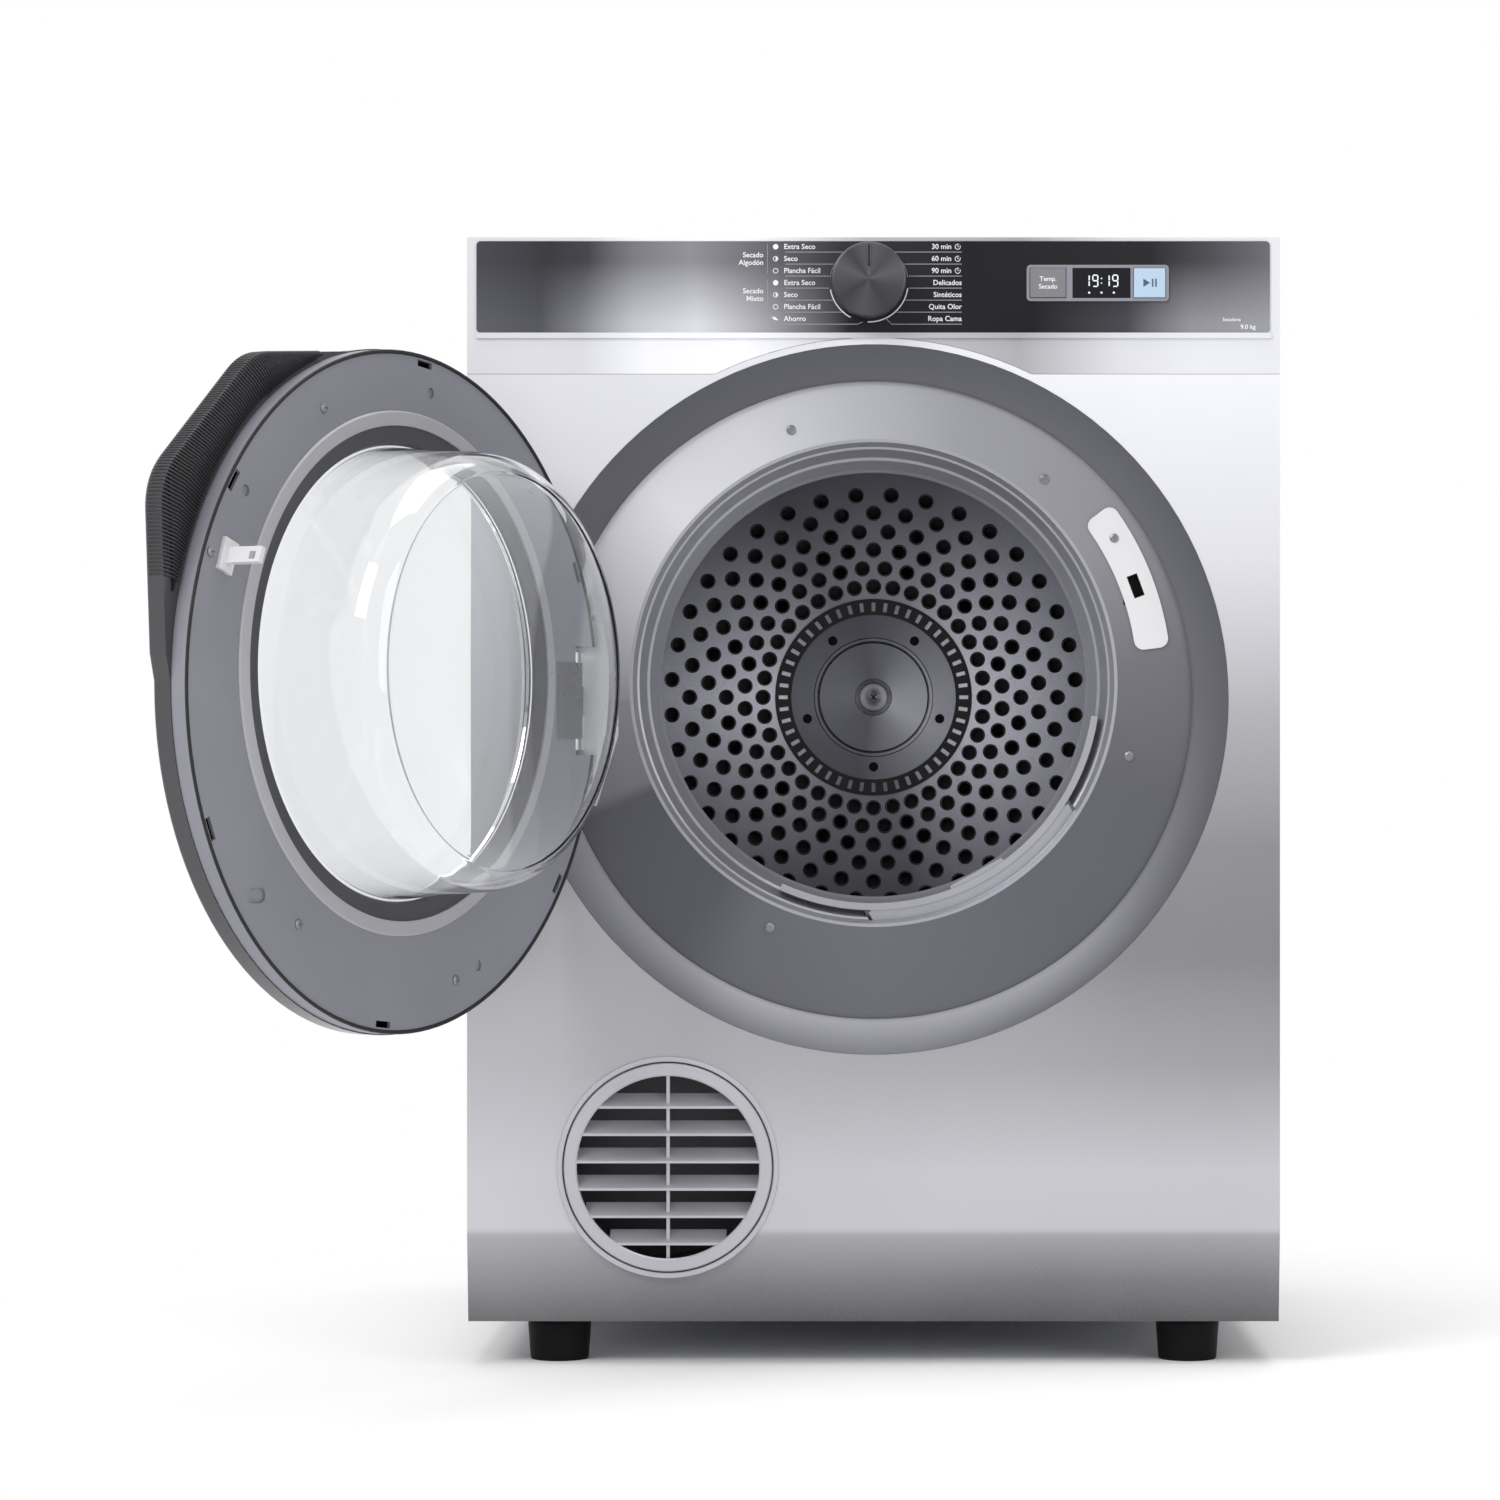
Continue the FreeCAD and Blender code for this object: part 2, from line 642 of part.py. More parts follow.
latch_px = latch_r * cosine(latch_angle)
latch_pz = latch_r * sine(latch_angle)
plate = front_body("door_frame_plate")
slab(plate, [("circle", 0, ring_z, funnel_in + 14)], plate_d, plate_d + 2)
window(plate, [("circle", 0, drum_z, collar_r + 2.4)], plate_d - 1, plate_d + 3)
window(plate, [box(latch_px - 9, drum_z + latch_pz - 14, latch_px + 9, drum_z + latch_pz + 14)],
       plate_d - 1, plate_d + 3)

bulk = front_body("front_bulkhead")
slab(bulk, [box(-inside_w, 228, inside_w, 758)], plate_d + 2, plate_d + 2 + gauge)
slab(bulk, [("circle", 0, drum_z, lip_r - 6.5), ("circle", 0, drum_z, lip_r - 8.5)], plate_d + 2 + gauge, 66)
window(bulk, [("circle", 0, drum_z, collar_r + 7)], plate_d, plate_d + 5)
window(bulk, [box(latch_px - 12, drum_z + latch_pz - 18, latch_px + 12, drum_z + latch_pz + 18)],
       plate_d, plate_d + 5)
duct_in = plate_d + 2 + gauge


def tilted(points):
    out = []
    for a, b in points:
        out.append((a * cosine(filter_tilt) - b * sine(filter_tilt), drum_z + a * sine(filter_tilt) + b * cosine(filter_tilt)))
    return ("polygon", out)


window(bulk, [tilted([(-94, -215), (94, -215), (94, -262), (-94, -262)])], duct_in, 47.2)

duct = front_body("filter_duct")
outer = [(-92, -182), (92, -182), (92, -262), (30, -400), (30, -470), (-85, -470), (-85, -400), (-92, -262)]
inner = [(-88, -170), (88, -170), (88, -263), (27, -398), (27, -467), (-82, -467), (-82, -398), (-88, -263)]
slab(duct, [tilted(outer)], duct_in, 47)
window(duct, [tilted(inner)], duct_in + 1.4, 45.6)
eye_r = size("blower_eye_radius", 44.0)
window(duct, [("circle", motor_x, motor_z, eye_r)], 44, 48)

felt = front_body("drum_front_bearing", 0, drum_z)
felt_in = lip_r - 6.5
glide_r = lip_r - play
turned(felt, [(felt_in, 50), (glide_r, 50), (glide_r, 56), (felt_in, 56)])

# The two glide pads are what is left of a ring between these heights and widths.
pad_z = lip_r - 72
pad_x = lip_r - 128
slab(felt, [("circle", 0, 0, glide_r), ("circle", 0, 0, felt_in)], 57, 65)
window(felt, [box(-400, -400, 400, pad_z)], 56.5, 66)
window(felt, [box(-pad_x, pad_z, pad_x, 400)], 56.5, 66)

jaw = front_body("latch_plate", 0, drum_z)
lo = size("latch_plate_low", 7.0)
hi = size("latch_plate_high", 37.0)
jaw_pad = slab(jaw, [("circle", 0, 0, 219.6), ("circle", 0, 0, 194.5)], plate_d - 1.6, plate_d)
far = 330
wedge = window(jaw, [("polygon", [
    (0, 0), (far * cosine(hi), far * sine(hi)), (-far, far), (-far, -far), (far, -far),
    (far * cosine(lo), far * sine(lo)),
])], plate_d - 3, plate_d + 1)
soft = soften(jaw, wedge, 7, lambda m, d, e: abs(d.z) > 0.9)
slot_a = [(-4, -8.5), (4, -8.5), (4, 8.5), (-4, 8.5)]
slot_pts = []
for a, b in slot_a:
    slot_pts.append((latch_px + a * cosine(latch_angle) - b * sine(latch_angle),
                     latch_pz + a * sine(latch_angle) + b * cosine(latch_angle)))
window(jaw, [("polygon", slot_pts)], plate_d - 3, plate_d + 1)

catch = front_body("latch_housing", 0, drum_z)
slab(catch, [box(latch_px - 16, latch_pz - 24, latch_px + 16, latch_pz + 24)], plate_d + 2 + gauge, 62)
window(catch, [box(latch_px - 8, latch_pz - 12, latch_px + 8, latch_pz + 12)], plate_d, 50)

arm_w = 7
hinge_zs = [(497.0, 522.0), (450.0, 475.0)]
bracket = new_body("hinge_bracket")
sk = sketch_on(bracket, "XZ_Plane", -as_size(plate_d), [("polygon", [
    (-229, ring_z + 34), (-217, ring_z + 78), (-204, ring_z + 78), (-188, ring_z + 30), (-188, ring_z - 26),
    (-204, ring_z - 78), (-217, ring_z - 78), (-229, ring_z - 34),
])])
flat = bracket.newObject("PartDesign::Pad", "Flat")
flat.Profile = sk
flat.Length = 1.6
for z0, z1 in hinge_zs:
    run(bracket, "XY_Plane", [("circle", hinge_px, hinge_py, arm_w)], z0, z1 - z0)
    run(bracket, "XY_Plane", [box(hinge_px - arm_w, hinge_py, hinge_px + arm_w, plate_d - 1.6)], z0, z1 - z0)
run(bracket, "XY_Plane", [("circle", hinge_px, hinge_py, 3 + bearing_play)], 440, 100, True)

# ------------------------------------------------------------- lint filter

filter_turn = Rot(Vec(0, 1, 0), -filter_tilt.value)


def filter_body(label):
    b = new_body(label, filter_turn.multiply(STAND), (0, 0, drum_z))
    bind(b, "Placement.Base.z", drum_z)
    return b


cap_r = collar_r - 10
frame = filter_body("filter_frame")
slab(frame, [("circle", 0, 0, cap_r), ("circle", 0, 0, cap_r - 5)], 31, 46)
reach = 300
window(frame, [("polygon", [(0, 0), (reach * sine(53), -reach * cosine(53)), (reach, 0), (reach, reach),
                            (-reach, reach), (-reach, 0), (-reach * sine(53), -reach * cosine(53))])], 30, 47)
pocket_z = -238
slab(frame, [box(-84, pocket_z, 84, -147)], 32, 45)
window(frame, [("circle", 0, 0, cap_r - 5)], 30, 47)
window(frame, [box(-79, pocket_z + 5, 79, -120)], 34, 43)
window(frame, [box(-76, pocket_z + 8, -3, -176), box(3, pocket_z + 8, 76, -176)], 30, 47)

mesh = filter_body("filter_mesh")
mesh_pad = slab(mesh, [box(-79, pocket_z + 5, 79, -173)], 34, 34.8)
slab(mesh, [box(-79, pocket_z + 5, -78.2, -173), box(78.2, pocket_z + 5, 79, -173)], 34.8, 42.2)
slab(mesh, [box(-79, pocket_z + 5, 79, -173)], 42.2, 43)

slab(frame, [("round_box", -22, -(cap_r - 4.2), 22, -(cap_r - 9), 1.5)], 33, 35.2)

# -------------------------------------------------------------------- drum

shell = front_body("drum_shell", 0, drum_z)
turned(shell, [(drum_r, drum_front), (drum_r + gauge, drum_front), (drum_r + gauge, drum_back_d + gauge),
               (drum_r, drum_back_d + gauge)])

turned(shell, [(lip_r, 48), (lip_r + gauge, 48), (lip_r + gauge, 66), (drum_r + gauge, drum_front - 2),
              (drum_r + gauge, drum_front), (drum_r, drum_front), (lip_r, 68)])

disc = front_body("drum_back", 0, drum_z)
slab(disc, [("circle", 0, 0, drum_r), ("circle", 0, 0, 20)], drum_back_d, drum_back_d + gauge)
ring_0 = size("first_hole_ring", 92.2)
ring_step = size("hole_ring_step", 15.3)
rows = []
for k in range(6):
    r = ring_0 + ring_step * k
    a = 0 if k % 2 == 0 else 5
    rows.append(("circle", r * cosine(a), r * sine(a), hole_r))
hole_row = window(disc, rows, drum_back_d - 1, drum_back_d + gauge + 1)
ring_of(disc, hole_row, 36)

hub = front_body("drum_hub", 0, drum_z)
turned(hub, [(10, drum_back_d - 3), (46, drum_back_d - 3), (46.8, drum_back_d - 1.5), (49, drum_back_d - 1.5),
             (49.8, drum_back_d - 3), (68.5, drum_back_d - 2), (68.5, drum_back_d), (10, drum_back_d)])
bolt = window(hub, [("circle", 0, -58, 4)], drum_back_d - 4, drum_back_d + 1)
ring_of(hub, bolt, 5)

slots = front_body("hub_grille", 0, drum_z)
slab(slots, [("circle", 0, 0, 82), ("circle", 0, 0, 68.5)], drum_back_d - 2, drum_back_d)
one_slot = window(slots, [box(71.5, -1.6, 79, 1.6)], drum_back_d - 3, drum_back_d + 1)
ring_of(slots, one_slot, 48)

lifter = front_body("drum_lifters", 0, drum_z)
root_z = 2.6 - drum_r
crest_z = 42 - drum_r
lift = slab(lifter, [("polygon", [(-34, root_z), (34, root_z), (14, crest_z), (-14, crest_z)])], 84, 440)
lift_turn = ring_of(lifter, lift, 3)

axle = front_body("drum_shaft", 0, drum_z)
turned(axle, [(0, drum_back_d - 7), (9, drum_back_d - 7), (15, drum_back_d - 5), (15, drum_back_d - 3),
              (10, drum_back_d - 3), (10, 500), (0, 500)])

# ------------------------------------------------- rear bulkhead and heater

wall_d = size("rear_bulkhead_depth", 470.0)
wall = front_body("rear wall", 0, 0, False)
slab(wall, [box(-inside_w, pan_z + 27.3, inside_w, 780)], wall_d, wall_d + gauge)
window(wall, [("circle", 0, drum_z, 22)], wall_d - 1, wall_d + 3)
air = []
for k in range(12):
    air.append(("circle", 125 * cosine(15 + 30 * k), drum_z + 125 * sine(15 + 30 * k), 22))
window(wall, air, wall_d - 1, wall_d + 3)

hub_seat = front_body("bearing seat", 0, drum_z, False)
turned(hub_seat, [(10 + bearing_play, wall_d - 4), (22, wall_d - 4), (22, wall_d + gauge), (34, wall_d + gauge),
                  (34, wall_d + 5), (24, wall_d + 6), (24, 498), (10 + bearing_play, 498)])

grouped("rear_bulkhead", [wall, hub_seat])

oven_r = size("rear_duct_radius", 185.0)
oven_d = size("rear_duct_depth", 40.0)
oven = front_body("rear_duct")
slab(oven, [("circle", 0, drum_z, oven_r)], wall_d + gauge, wall_d + oven_d)
slab(oven, [box(-85, 185, 85, drum_z)], wall_d + gauge, wall_d + oven_d)
window(oven, [("circle", 0, drum_z, oven_r - gauge)], wall_d, wall_d + oven_d - gauge)
window(oven, [box(-85 + gauge, 185 + gauge, 85 - gauge, drum_z)], wall_d, wall_d + oven_d - gauge)
slab(oven, [box(-72, 190, 72, 300)], wall_d + oven_d, cab_d - gauge)
window(oven, [box(-68, 194, 68, 296)], wall_d + oven_d - 3, cab_d)

coils = front_body("heater_element")
slab(coils, [box(-85 + gauge, 302, -80, 330), box(80, 302, 85 - gauge, 330)], wall_d + 6, wall_d + 34)
for k in range(3):
    run(coils, "YZ_Plane", [("circle", 309 + 7 * k, -as_size(wall_d + 12), 1.8),
                            ("circle", 309 + 7 * k, -as_size(wall_d + 20), 1.8),
                            ("circle", 309 + 7 * k, -as_size(wall_d + 28), 1.8)], -80.5, 161)

# ------------------------------------------------------------------- drive

belt_in = drum_r + gauge + play
loop = front_body("drive_belt")
slab(loop, [("loop", 0, drum_z, belt_in + belt_t, motor_x, motor_z, pulley_r + play + belt_t),
            ("loop", 0, drum_z, belt_in, motor_x, motor_z, pulley_r + play)], belt_d, belt_d + belt_w)

spindle = front_body("motor_shaft", motor_x, motor_z)
slab(spindle, [("circle", 0, 0, 6)], 62, 396)
turned(spindle, [(5, belt_d - 3), (pulley_r + 3, belt_d - 3), (pulley_r, belt_d - 1.5), (pulley_r, belt_d + 11.5),
                 (pulley_r + 3, belt_d + 13), (5, belt_d + 13)])

motor = front_body("drive_motor", motor_x, motor_z)
turned(motor, [(6 + bearing_play, 205), (18, 205), (20, 214), (50, 216), (55, 222), (55, 314), (50, 320),
               (20, 322), (18, 331), (6 + bearing_play, 331)])

cradle = new_body("motor_bracket")
run(cradle, "XY_Plane", [box(motor_x - 75, 205, motor_x + 60, 408)], pan_z + 1.5, 4)
for y0 in (228, 300):
    s = sketch_on(cradle, "XZ_Plane", -as_size(y0), [box(motor_x - 60, pan_z + 4, motor_x + 60, motor_z)])
    p = cradle.newObject("PartDesign::Pad", "Saddle")
    p.Profile = s
    p.Length = 6
    p.Reversed = True
s = sketch_on(cradle, "XZ_Plane", -as_size(402), [box(motor_x - 75, pan_z + 4, motor_x - 30, motor_z - 25)])
p = cradle.newObject("PartDesign::Pad", "Post")
p.Profile = s
p.Length = 6
p.Reversed = True
s = sketch_on(cradle, "XZ_Plane", -as_size(200), [("circle", motor_x, motor_z, 55)])
bore = cradle.newObject("PartDesign::Pocket", "SaddleBore")
bore.Profile = s
bore.Length = 180
pivot_x = motor_x - 60
pivot_z = motor_z - 45
s = sketch_on(cradle, "XZ_Plane", -as_size(402.5), [("circle", pivot_x, pivot_z, 4)])
p = cradle.newObject("PartDesign::Pad", "Pivot")
p.Profile = s
p.Length = 10.5

idler_r = size("idler_radius", 18.0)
gap_d = root((drum_z - motor_z) * (drum_z - motor_z) + motor_x * motor_x)
mid_drum = belt_in + belt_t
mid_pulley = pulley_r + play + belt_t
lean = (mid_drum - mid_pulley) / gap_d
side_c = root(1 - lean * lean)
dir_x = -motor_x / gap_d
dir_z = (drum_z - motor_z) / gap_d
norm_x = -1 * (dir_x * lean) - dir_z * side_c
norm_z = -1 * (dir_z * lean) + dir_x * side_c
run_x = norm_z
run_z = -1 * norm_x
along = size("idler_along_belt", 82.0)
idler_x = motor_x + norm_x * (mid_pulley + idler_r + play) + run_x * along
idler_z = motor_z + norm_z * (mid_pulley + idler_r + play) + run_z * along

tension = front_body("idler_wheel")
sheave = slab(tension, [("circle", idler_x, idler_z, idler_r)], belt_d - 2, belt_d + 12)
window(tension, [("circle", idler_x, idler_z, 4 + bearing_play)], belt_d - 3, belt_d + 13)

lever = front_body("idler_arm")
span_x = idler_x - pivot_x
span_z = idler_z - pivot_z
span = root(span_x * span_x + span_z * span_z)
ux = span_x / span * 7
uz = span_z / span * 7
slab(lever, [("polygon", [(pivot_x - ux - uz, pivot_z - uz + ux), (pivot_x - ux + uz, pivot_z - uz - ux),
                          (idler_x + ux + uz, idler_z + uz - ux), (idler_x + ux - uz, idler_z + uz + ux)])],
     belt_d + 13, belt_d + 17)
slab(lever, [("circle", idler_x, idler_z, 4)], belt_d - 3, belt_d + 13.5)
slab(lever, [("circle", pivot_x, pivot_z, 9)], belt_d + 17, belt_d + 22)
window(lever, [("circle", pivot_x, pivot_z, 4 + bearing_play)], belt_d + 5, belt_d + 25)

# -------------------------------------------------------- blower and ducts

blow_r = size("blower_radius", 78.0)
blow_in = size("blower_depth", 60.0)
scroll = front_body("scroll", motor_x, motor_z, False)
slab(scroll, [("circle", 0, 0, blow_r)], 47, 47 + blow_in)
slab(scroll, [box(-84, 0, 0, blow_r)], 47, 47 + blow_in)
window(scroll, [("circle", 0, 0, blow_r - 2)], 49, 45 + blow_in)
window(scroll, [box(-86, 2, 0, blow_r - 2)], 49, 45 + blow_in)
window(scroll, [("circle", 0, 0, eye_r)], 46, 50)
window(scroll, [("circle", 0, 0, 8)], 100, 48 + blow_in)

fan = front_body("blower_wheel", motor_x, motor_z)
slab(fan, [("circle", 0, 0, 62), ("circle", 0, 0, 6)], 98, 100)
slab(fan, [("circle", 0, 0, 13), ("circle", 0, 0, 6)], 66, 98)
blade = slab(fan, [box(42, -1, 61, 1)], 58, 98.5)
ring_of(fan, blade, 20)
slab(fan, [("circle", 0, 0, 62), ("circle", 0, 0, 56)], 56, 58.5)

exit_x = motor_x - 84
exit_z0 = motor_z
exit_z1 = motor_z + blow_r
pipe = front_body("exhaust run", 0, 0, False)


def chamber(side, edge, corner_x, corner_z, inset, wall):
    """Outline of the outlet chamber: a box round the neck with its far corners cut off."""
    return ("polygon", [
        (exit_x + inset, exit_z0 + wall), (exit_x + inset, exit_z1 - wall), (vent_px, vent_z + edge),
        (vent_px - corner_x, vent_z + edge), (vent_px - side, vent_z + corner_z),
        (vent_px - side, vent_z - corner_z), (vent_px - corner_x, vent_z - edge), (vent_px, vent_z - edge),
    ])


slab(pipe, [chamber(neck_r + 7, neck_r + 5, neck_r - 11, neck_r - 21, 0, 0)], 49, 105)
window(pipe, [chamber(neck_r + 5, neck_r + 3, neck_r - 12, neck_r - 22, 1, 2)], 51, 103)
slab(pipe, [("circle", vent_px, vent_z, neck_r + 2), ("circle", vent_px, vent_z, neck_r)], 16, 49.5)
window(pipe, [("circle", vent_px, vent_z, neck_r)], 13, 52)

grouped("blower_housing", [scroll, pipe])

bell = front_body("vent_trim", vent_px, vent_z)
turned(bell, [(vent_r, -0.2), (vent_r - 0.5, -1.4), (vent_r - 3.4, -1.4), (vent_r - 4, -0.6), (vent_r - 4, 14),
              (neck_r, 14), (neck_r, 16), (vent_r - 2.3, 16), (vent_r - 2.3, 0), (vent_r, 0)])

insert_r = vent_r - 5
louvre = front_body("vent_insert", vent_px, vent_z)
turned(louvre, [(insert_r - 9.5, -0.2), (insert_r - 8.5, -1.2), (insert_r - 0.8, -1.2), (insert_r, -0.4),
                (insert_r, 13.6), (insert_r - 2, 13.6), (insert_r - 2, 2.5), (insert_r - 9.5, 2.5)])
slat_step = size("slat_step", 20.0)
slat_0 = size("first_slat_height", 44.1)
for k in range(6):
    zc = slat_0 - slat_step * k
    half = root((insert_r - 6) * (insert_r - 6) - zc * zc)
    run(louvre, "YZ_Plane", [("polygon", [(zc - 1.2, 0.2), (zc + 0.6, 0.2), (zc + 9.4, -12.6), (zc + 7.6, -12.6)])],
        -half, 2 * half)
slab(louvre, [box(-1.2, -(insert_r - 6), 1.2, insert_r - 6)], 3, 10)

# -------------------------------------------------------------------- door

opened = FreeCAD.Placement(
    Vec(hinge_px.value, hinge_py.value, 0), Rot(Vec(0, 0, 1), -door_open.value)
).multiply(FreeCAD.Placement(Vec(-hinge_px.value, -hinge_py.value, 0), Rot()))
door_parts = []


def door_body(label, x=0, z=0):
    """Drawn in the shut position; swung to the open position at the end."""
    b = front_body(label, x, z)
    door_parts.append(b)
    return b


notch_x = hinge_px + 14
notch = box(-300, 446, notch_x, 526)

cover = door_body("door_front_shell")
slab(cover, [("circle", 0, ring_z, door_r + 0.5)], -door_front_d, -3)
corner = slab(cover, [("polygon", [(0, ring_z), (0, ring_z + door_r), (150, ring_z + 221), (245.5, ring_z + 134),
                                   (240, ring_z + 20), (door_r, ring_z)])], -door_front_d, -3)
round_r = size("handle_corner_radius", 46.0)
corner_2 = soften(cover, corner, round_r, lambda m, d, e: abs(d.z) > 0.9 and (
    abs(m.x - 150) < 1 or abs(m.x - 245.5) < 1))
doc.recompute()
front_edges = soften(cover, corner_2, 3, lambda m, d, e: m.z > num(door_front_d) - 0.01)
window(cover, [("circle", 0, drum_z, glass_r)], -door_front_d - 1, 0)
window(cover, [("circle", 0, ring_z, door_r - 3), ("circle", 0, drum_z, glass_r + 3)], -door_front_d + 2.5, -2)
window(cover, [notch], -door_front_d - 1, 0)

grip_plate = door_body("door_handle_grip")
slab(grip_plate, [("polygon", [(60, ring_z + 225), (150, ring_z + 214), (238, ring_z + 134), (234, ring_z + 60),
                               (200, ring_z + 134.3), (151, ring_z + 187.9)])], -3, -1.8)
window(grip_plate, [("circle", 0, ring_z, door_r + 2)], -4, 0)

inner = door_body("door_inner_plate")
slab(inner, [("circle", 0, ring_z, door_r - 0.3)], -3, door_back_d)
window(inner, [("circle", 0, drum_z, 180.2)], -4, door_back_d + 1)
window(inner, [("circle", 0, ring_z, door_r - 3), ("circle", 0, drum_z, 183)], -4, door_back_d - 2.5)
window(inner, [notch], -4, door_back_d + 1)
pits = []
for k in range(6):
    a = 36 + 60 * k
    c = cosine(a)
    s = sine(a)
    r0 = door_r - 9
    r1 = door_r - 4.5
    pits.append(("polygon", [(r0 * c - 8 * s, ring_z + r0 * s + 8 * c), (r0 * c + 8 * s, ring_z + r0 * s - 8 * c),
                             (r1 * c + 8 * s, ring_z + r1 * s - 8 * c), (r1 * c - 8 * s, ring_z + r1 * s + 8 * c)]))
window(inner, pits, door_back_d - 3.5, door_back_d + 1)
window(inner, [("circle", 172.6, 615.8, 4), ("circle", -30.5, 695.3, 4), ("circle", -86.7, 297.6, 4),
               ("round_box", 152, 346, 171, 356, 4.9)], door_back_d - 1.6, door_back_d + 1)

bead = door_body("door_edge_bead", 0, ring_z)
turned(bead, [(door_r - 3.2, door_back_d), (door_r - 0.6, door_back_d), (door_r - 0.9, door_back_d + 1.2),
              (door_r - 2.6, door_back_d + 1.2)])
window(bead, [box(-300, 446 - ring_z, notch_x, 526 - ring_z)], 0, 20)

glass = door_body("door_front_glass", 0, drum_z)
turned(glass, [(0, -door_front_d - 1), (90, -door_front_d - 0.2), (glass_r, -door_front_d + 2.5),
               (glass_r, -door_front_d + 6), (90, -door_front_d + 3.3), (0, -door_front_d + 2.5)])

halo = door_body("door_trim_ring", 0, drum_z)
turned(halo, [(glass_r - 3, -door_front_d - 0.6), (glass_r + 1, -door_front_d - 1.8),
              (glass_r + 7, -door_front_d - 1.2), (glass_r + 8, -door_front_d), (glass_r, -door_front_d),
              (glass_r, -door_front_d + 2.5), (glass_r - 3, -door_front_d + 2.3)])

keeper = door_body("bowl_retainer", 0, drum_z)
turned(keeper, [(160, -3), (180.2, -3), (180.2, door_back_d + 0.6), (179, door_back_d + 1.6),
                (170, door_back_d + 1.6), (170, 4), (172, 4), (172, 1), (160, 1)])

clamp = door_body("bowl_clamp_ring", 0, drum_z)
turned(clamp, [(bowl_r, 4), (170, 4), (170, door_back_d), (bowl_r + 1.4, door_back_d - 1.5)])

bowl = door_body("door_bowl", 0, drum_z)
end_r = bowl_end_r
turned(bowl, [
    (bowl_r - 3, 1), (172, 1), (172, 4), (bowl_r, 4), (end_r + 0.6, bowl_d - 22), (end_r - 1.2, bowl_d - 14),
    (end_r - 5.5, bowl_d - 6.5), (end_r - 12, bowl_d - 2), (end_r - 20, bowl_d), (0, bowl_d), (0, bowl_d - 3),
    (end_r - 20.5, bowl_d - 3), (end_r - 13.4, bowl_d - 4.8), (end_r - 7.7, bowl_d - 8.6),
    (end_r - 4, bowl_d - 15), (end_r - 2.4, bowl_d - 22),
])

hook = door_body("door_strike", 0, drum_z)
hook_pts = []
for a, b in [(-2, -5.5), (2, -5.5), (2, 5.5), (-2, 5.5)]:
    hook_pts.append((latch_px + a * cosine(latch_angle) - b * sine(latch_angle),
                     latch_pz + a * sine(latch_angle) + b * cosine(latch_angle)))
pad_pts = []
for a, b in [(-7, -11), (7, -11), (7, 11), (-7, 11)]:
    pad_pts.append((latch_px + a * cosine(latch_angle) - b * sine(latch_angle),
                    latch_pz + a * sine(latch_angle) + b * cosine(latch_angle)))
slab(hook, [("polygon", pad_pts)], door_back_d, door_back_d + 3)
slab(hook, [("polygon", hook_pts)], door_back_d + 2, 38)
window(hook, [box(latch_px - 10, latch_pz - 2.5, latch_px + 10, latch_pz + 2.5)], 29, 34)

leaf = new_body("hinge_leaf")
door_parts.append(leaf)
run(leaf, "XY_Plane", [("circle", hinge_px, hinge_py, arm_w)], 475.3, 21.4)
run(leaf, "XY_Plane", [box(hinge_px, hinge_py - 5, notch_x, door_back_d - 3)], 475.3, 21.4)
run(leaf, "XY_Plane", [box(notch_x - 6, 0, notch_x, door_back_d + 1.6)], 475.3, 21.4)
run(leaf, "XY_Plane", [box(notch_x - 6, door_back_d, notch_x + 24, door_back_d + 1.6)], 458, 56)
run(leaf, "XY_Plane", [("circle", hinge_px, hinge_py, 3)], 451, 70)

# ------------------------------------------------------------------ screws


def screw(x, z, y, r=3.6, h=1.8, deep=4):
    """Round-headed screw seen from the front, its head standing out of depth y."""
    s = front_body("screw", x, z, False)
    turned(s, [(0, y - h), (r * 0.6, y - h), (r * 0.95, y - h * 0.55), (r, y), (1.6, y), (1.6, y + deep), (0, y + deep)])
    window(s, [box(-r * 0.62, -0.45, r * 0.62, 0.45)], y - h - 0.5, y - h + 0.9)
    window(s, [box(-0.45, -r * 0.62, 0.45, r * 0.62)], y - h - 0.5, y - h + 0.9)
    return s


plate_screws = []
for a in (108, 50, -16, -113):
    plate_screws.append(screw(196 * cosine(a), drum_z + 196 * sine(a), plate_d, 3.6, 1.8, 2))
cabinet_screws = plate_screws + [
    screw(-207, ring_z + 61, plate_d - 1.6, 3.4, 1.6, 1.6),
    screw(-203, ring_z - 62, plate_d - 1.6, 3.4, 1.6, 1.6),
    screw(207 * cosine(31), drum_z + 207 * sine(31), plate_d - 1.6, 3.4, 1.4, 1.6),
]
door_screws = []


def back_screw(x, z, y):
    """Round-headed screw whose head stands out behind depth y."""
    s = front_body("screw", x, z, False)
    turned(s, [(0, y + 1.6), (2.2, y + 1.6), (3.4, y + 0.9), (3.6, y), (1.5, y), (1.5, y - 2.4), (0, y - 2.4)])
    window(s, [box(-2.2, -0.45, 2.2, 0.45), ], y + 0.8, y + 2)
    return s


for sx, sz in ((89.7, 676.1), (208.5, 574.0), (117.4, 331.1), (-60, 288), (-150, 640)):
    door_screws.append(back_screw(sx, sz, door_back_d))
group = grouped("door_screws", door_screws)
door_parts.append(group)
for sx in (-inside_w + 14, 0, inside_w - 14):
    for sz in (60, 780):
        cabinet_screws.append(back_screw(sx, sz, cab_d))
grouped("cabinet_screws", cabinet_screws)

inlet = front_body("terminal_block")
slab(inlet, [("round_box", 200, 680, 256, 740, 5)], cab_d, cab_d + 12)
window(inlet, [("circle", 228, 700, 7)], cab_d + 3, cab_d + 13)

# -------------------------------------------------- swing the door and save

doc.recompute()
for b in door_parts:
    for path, text in list(b.ExpressionEngine):
        if path.startswith("Placement"):
            b.setExpression(path, None)
    b.Placement = opened.multiply(b.Placement)
doc.recompute()

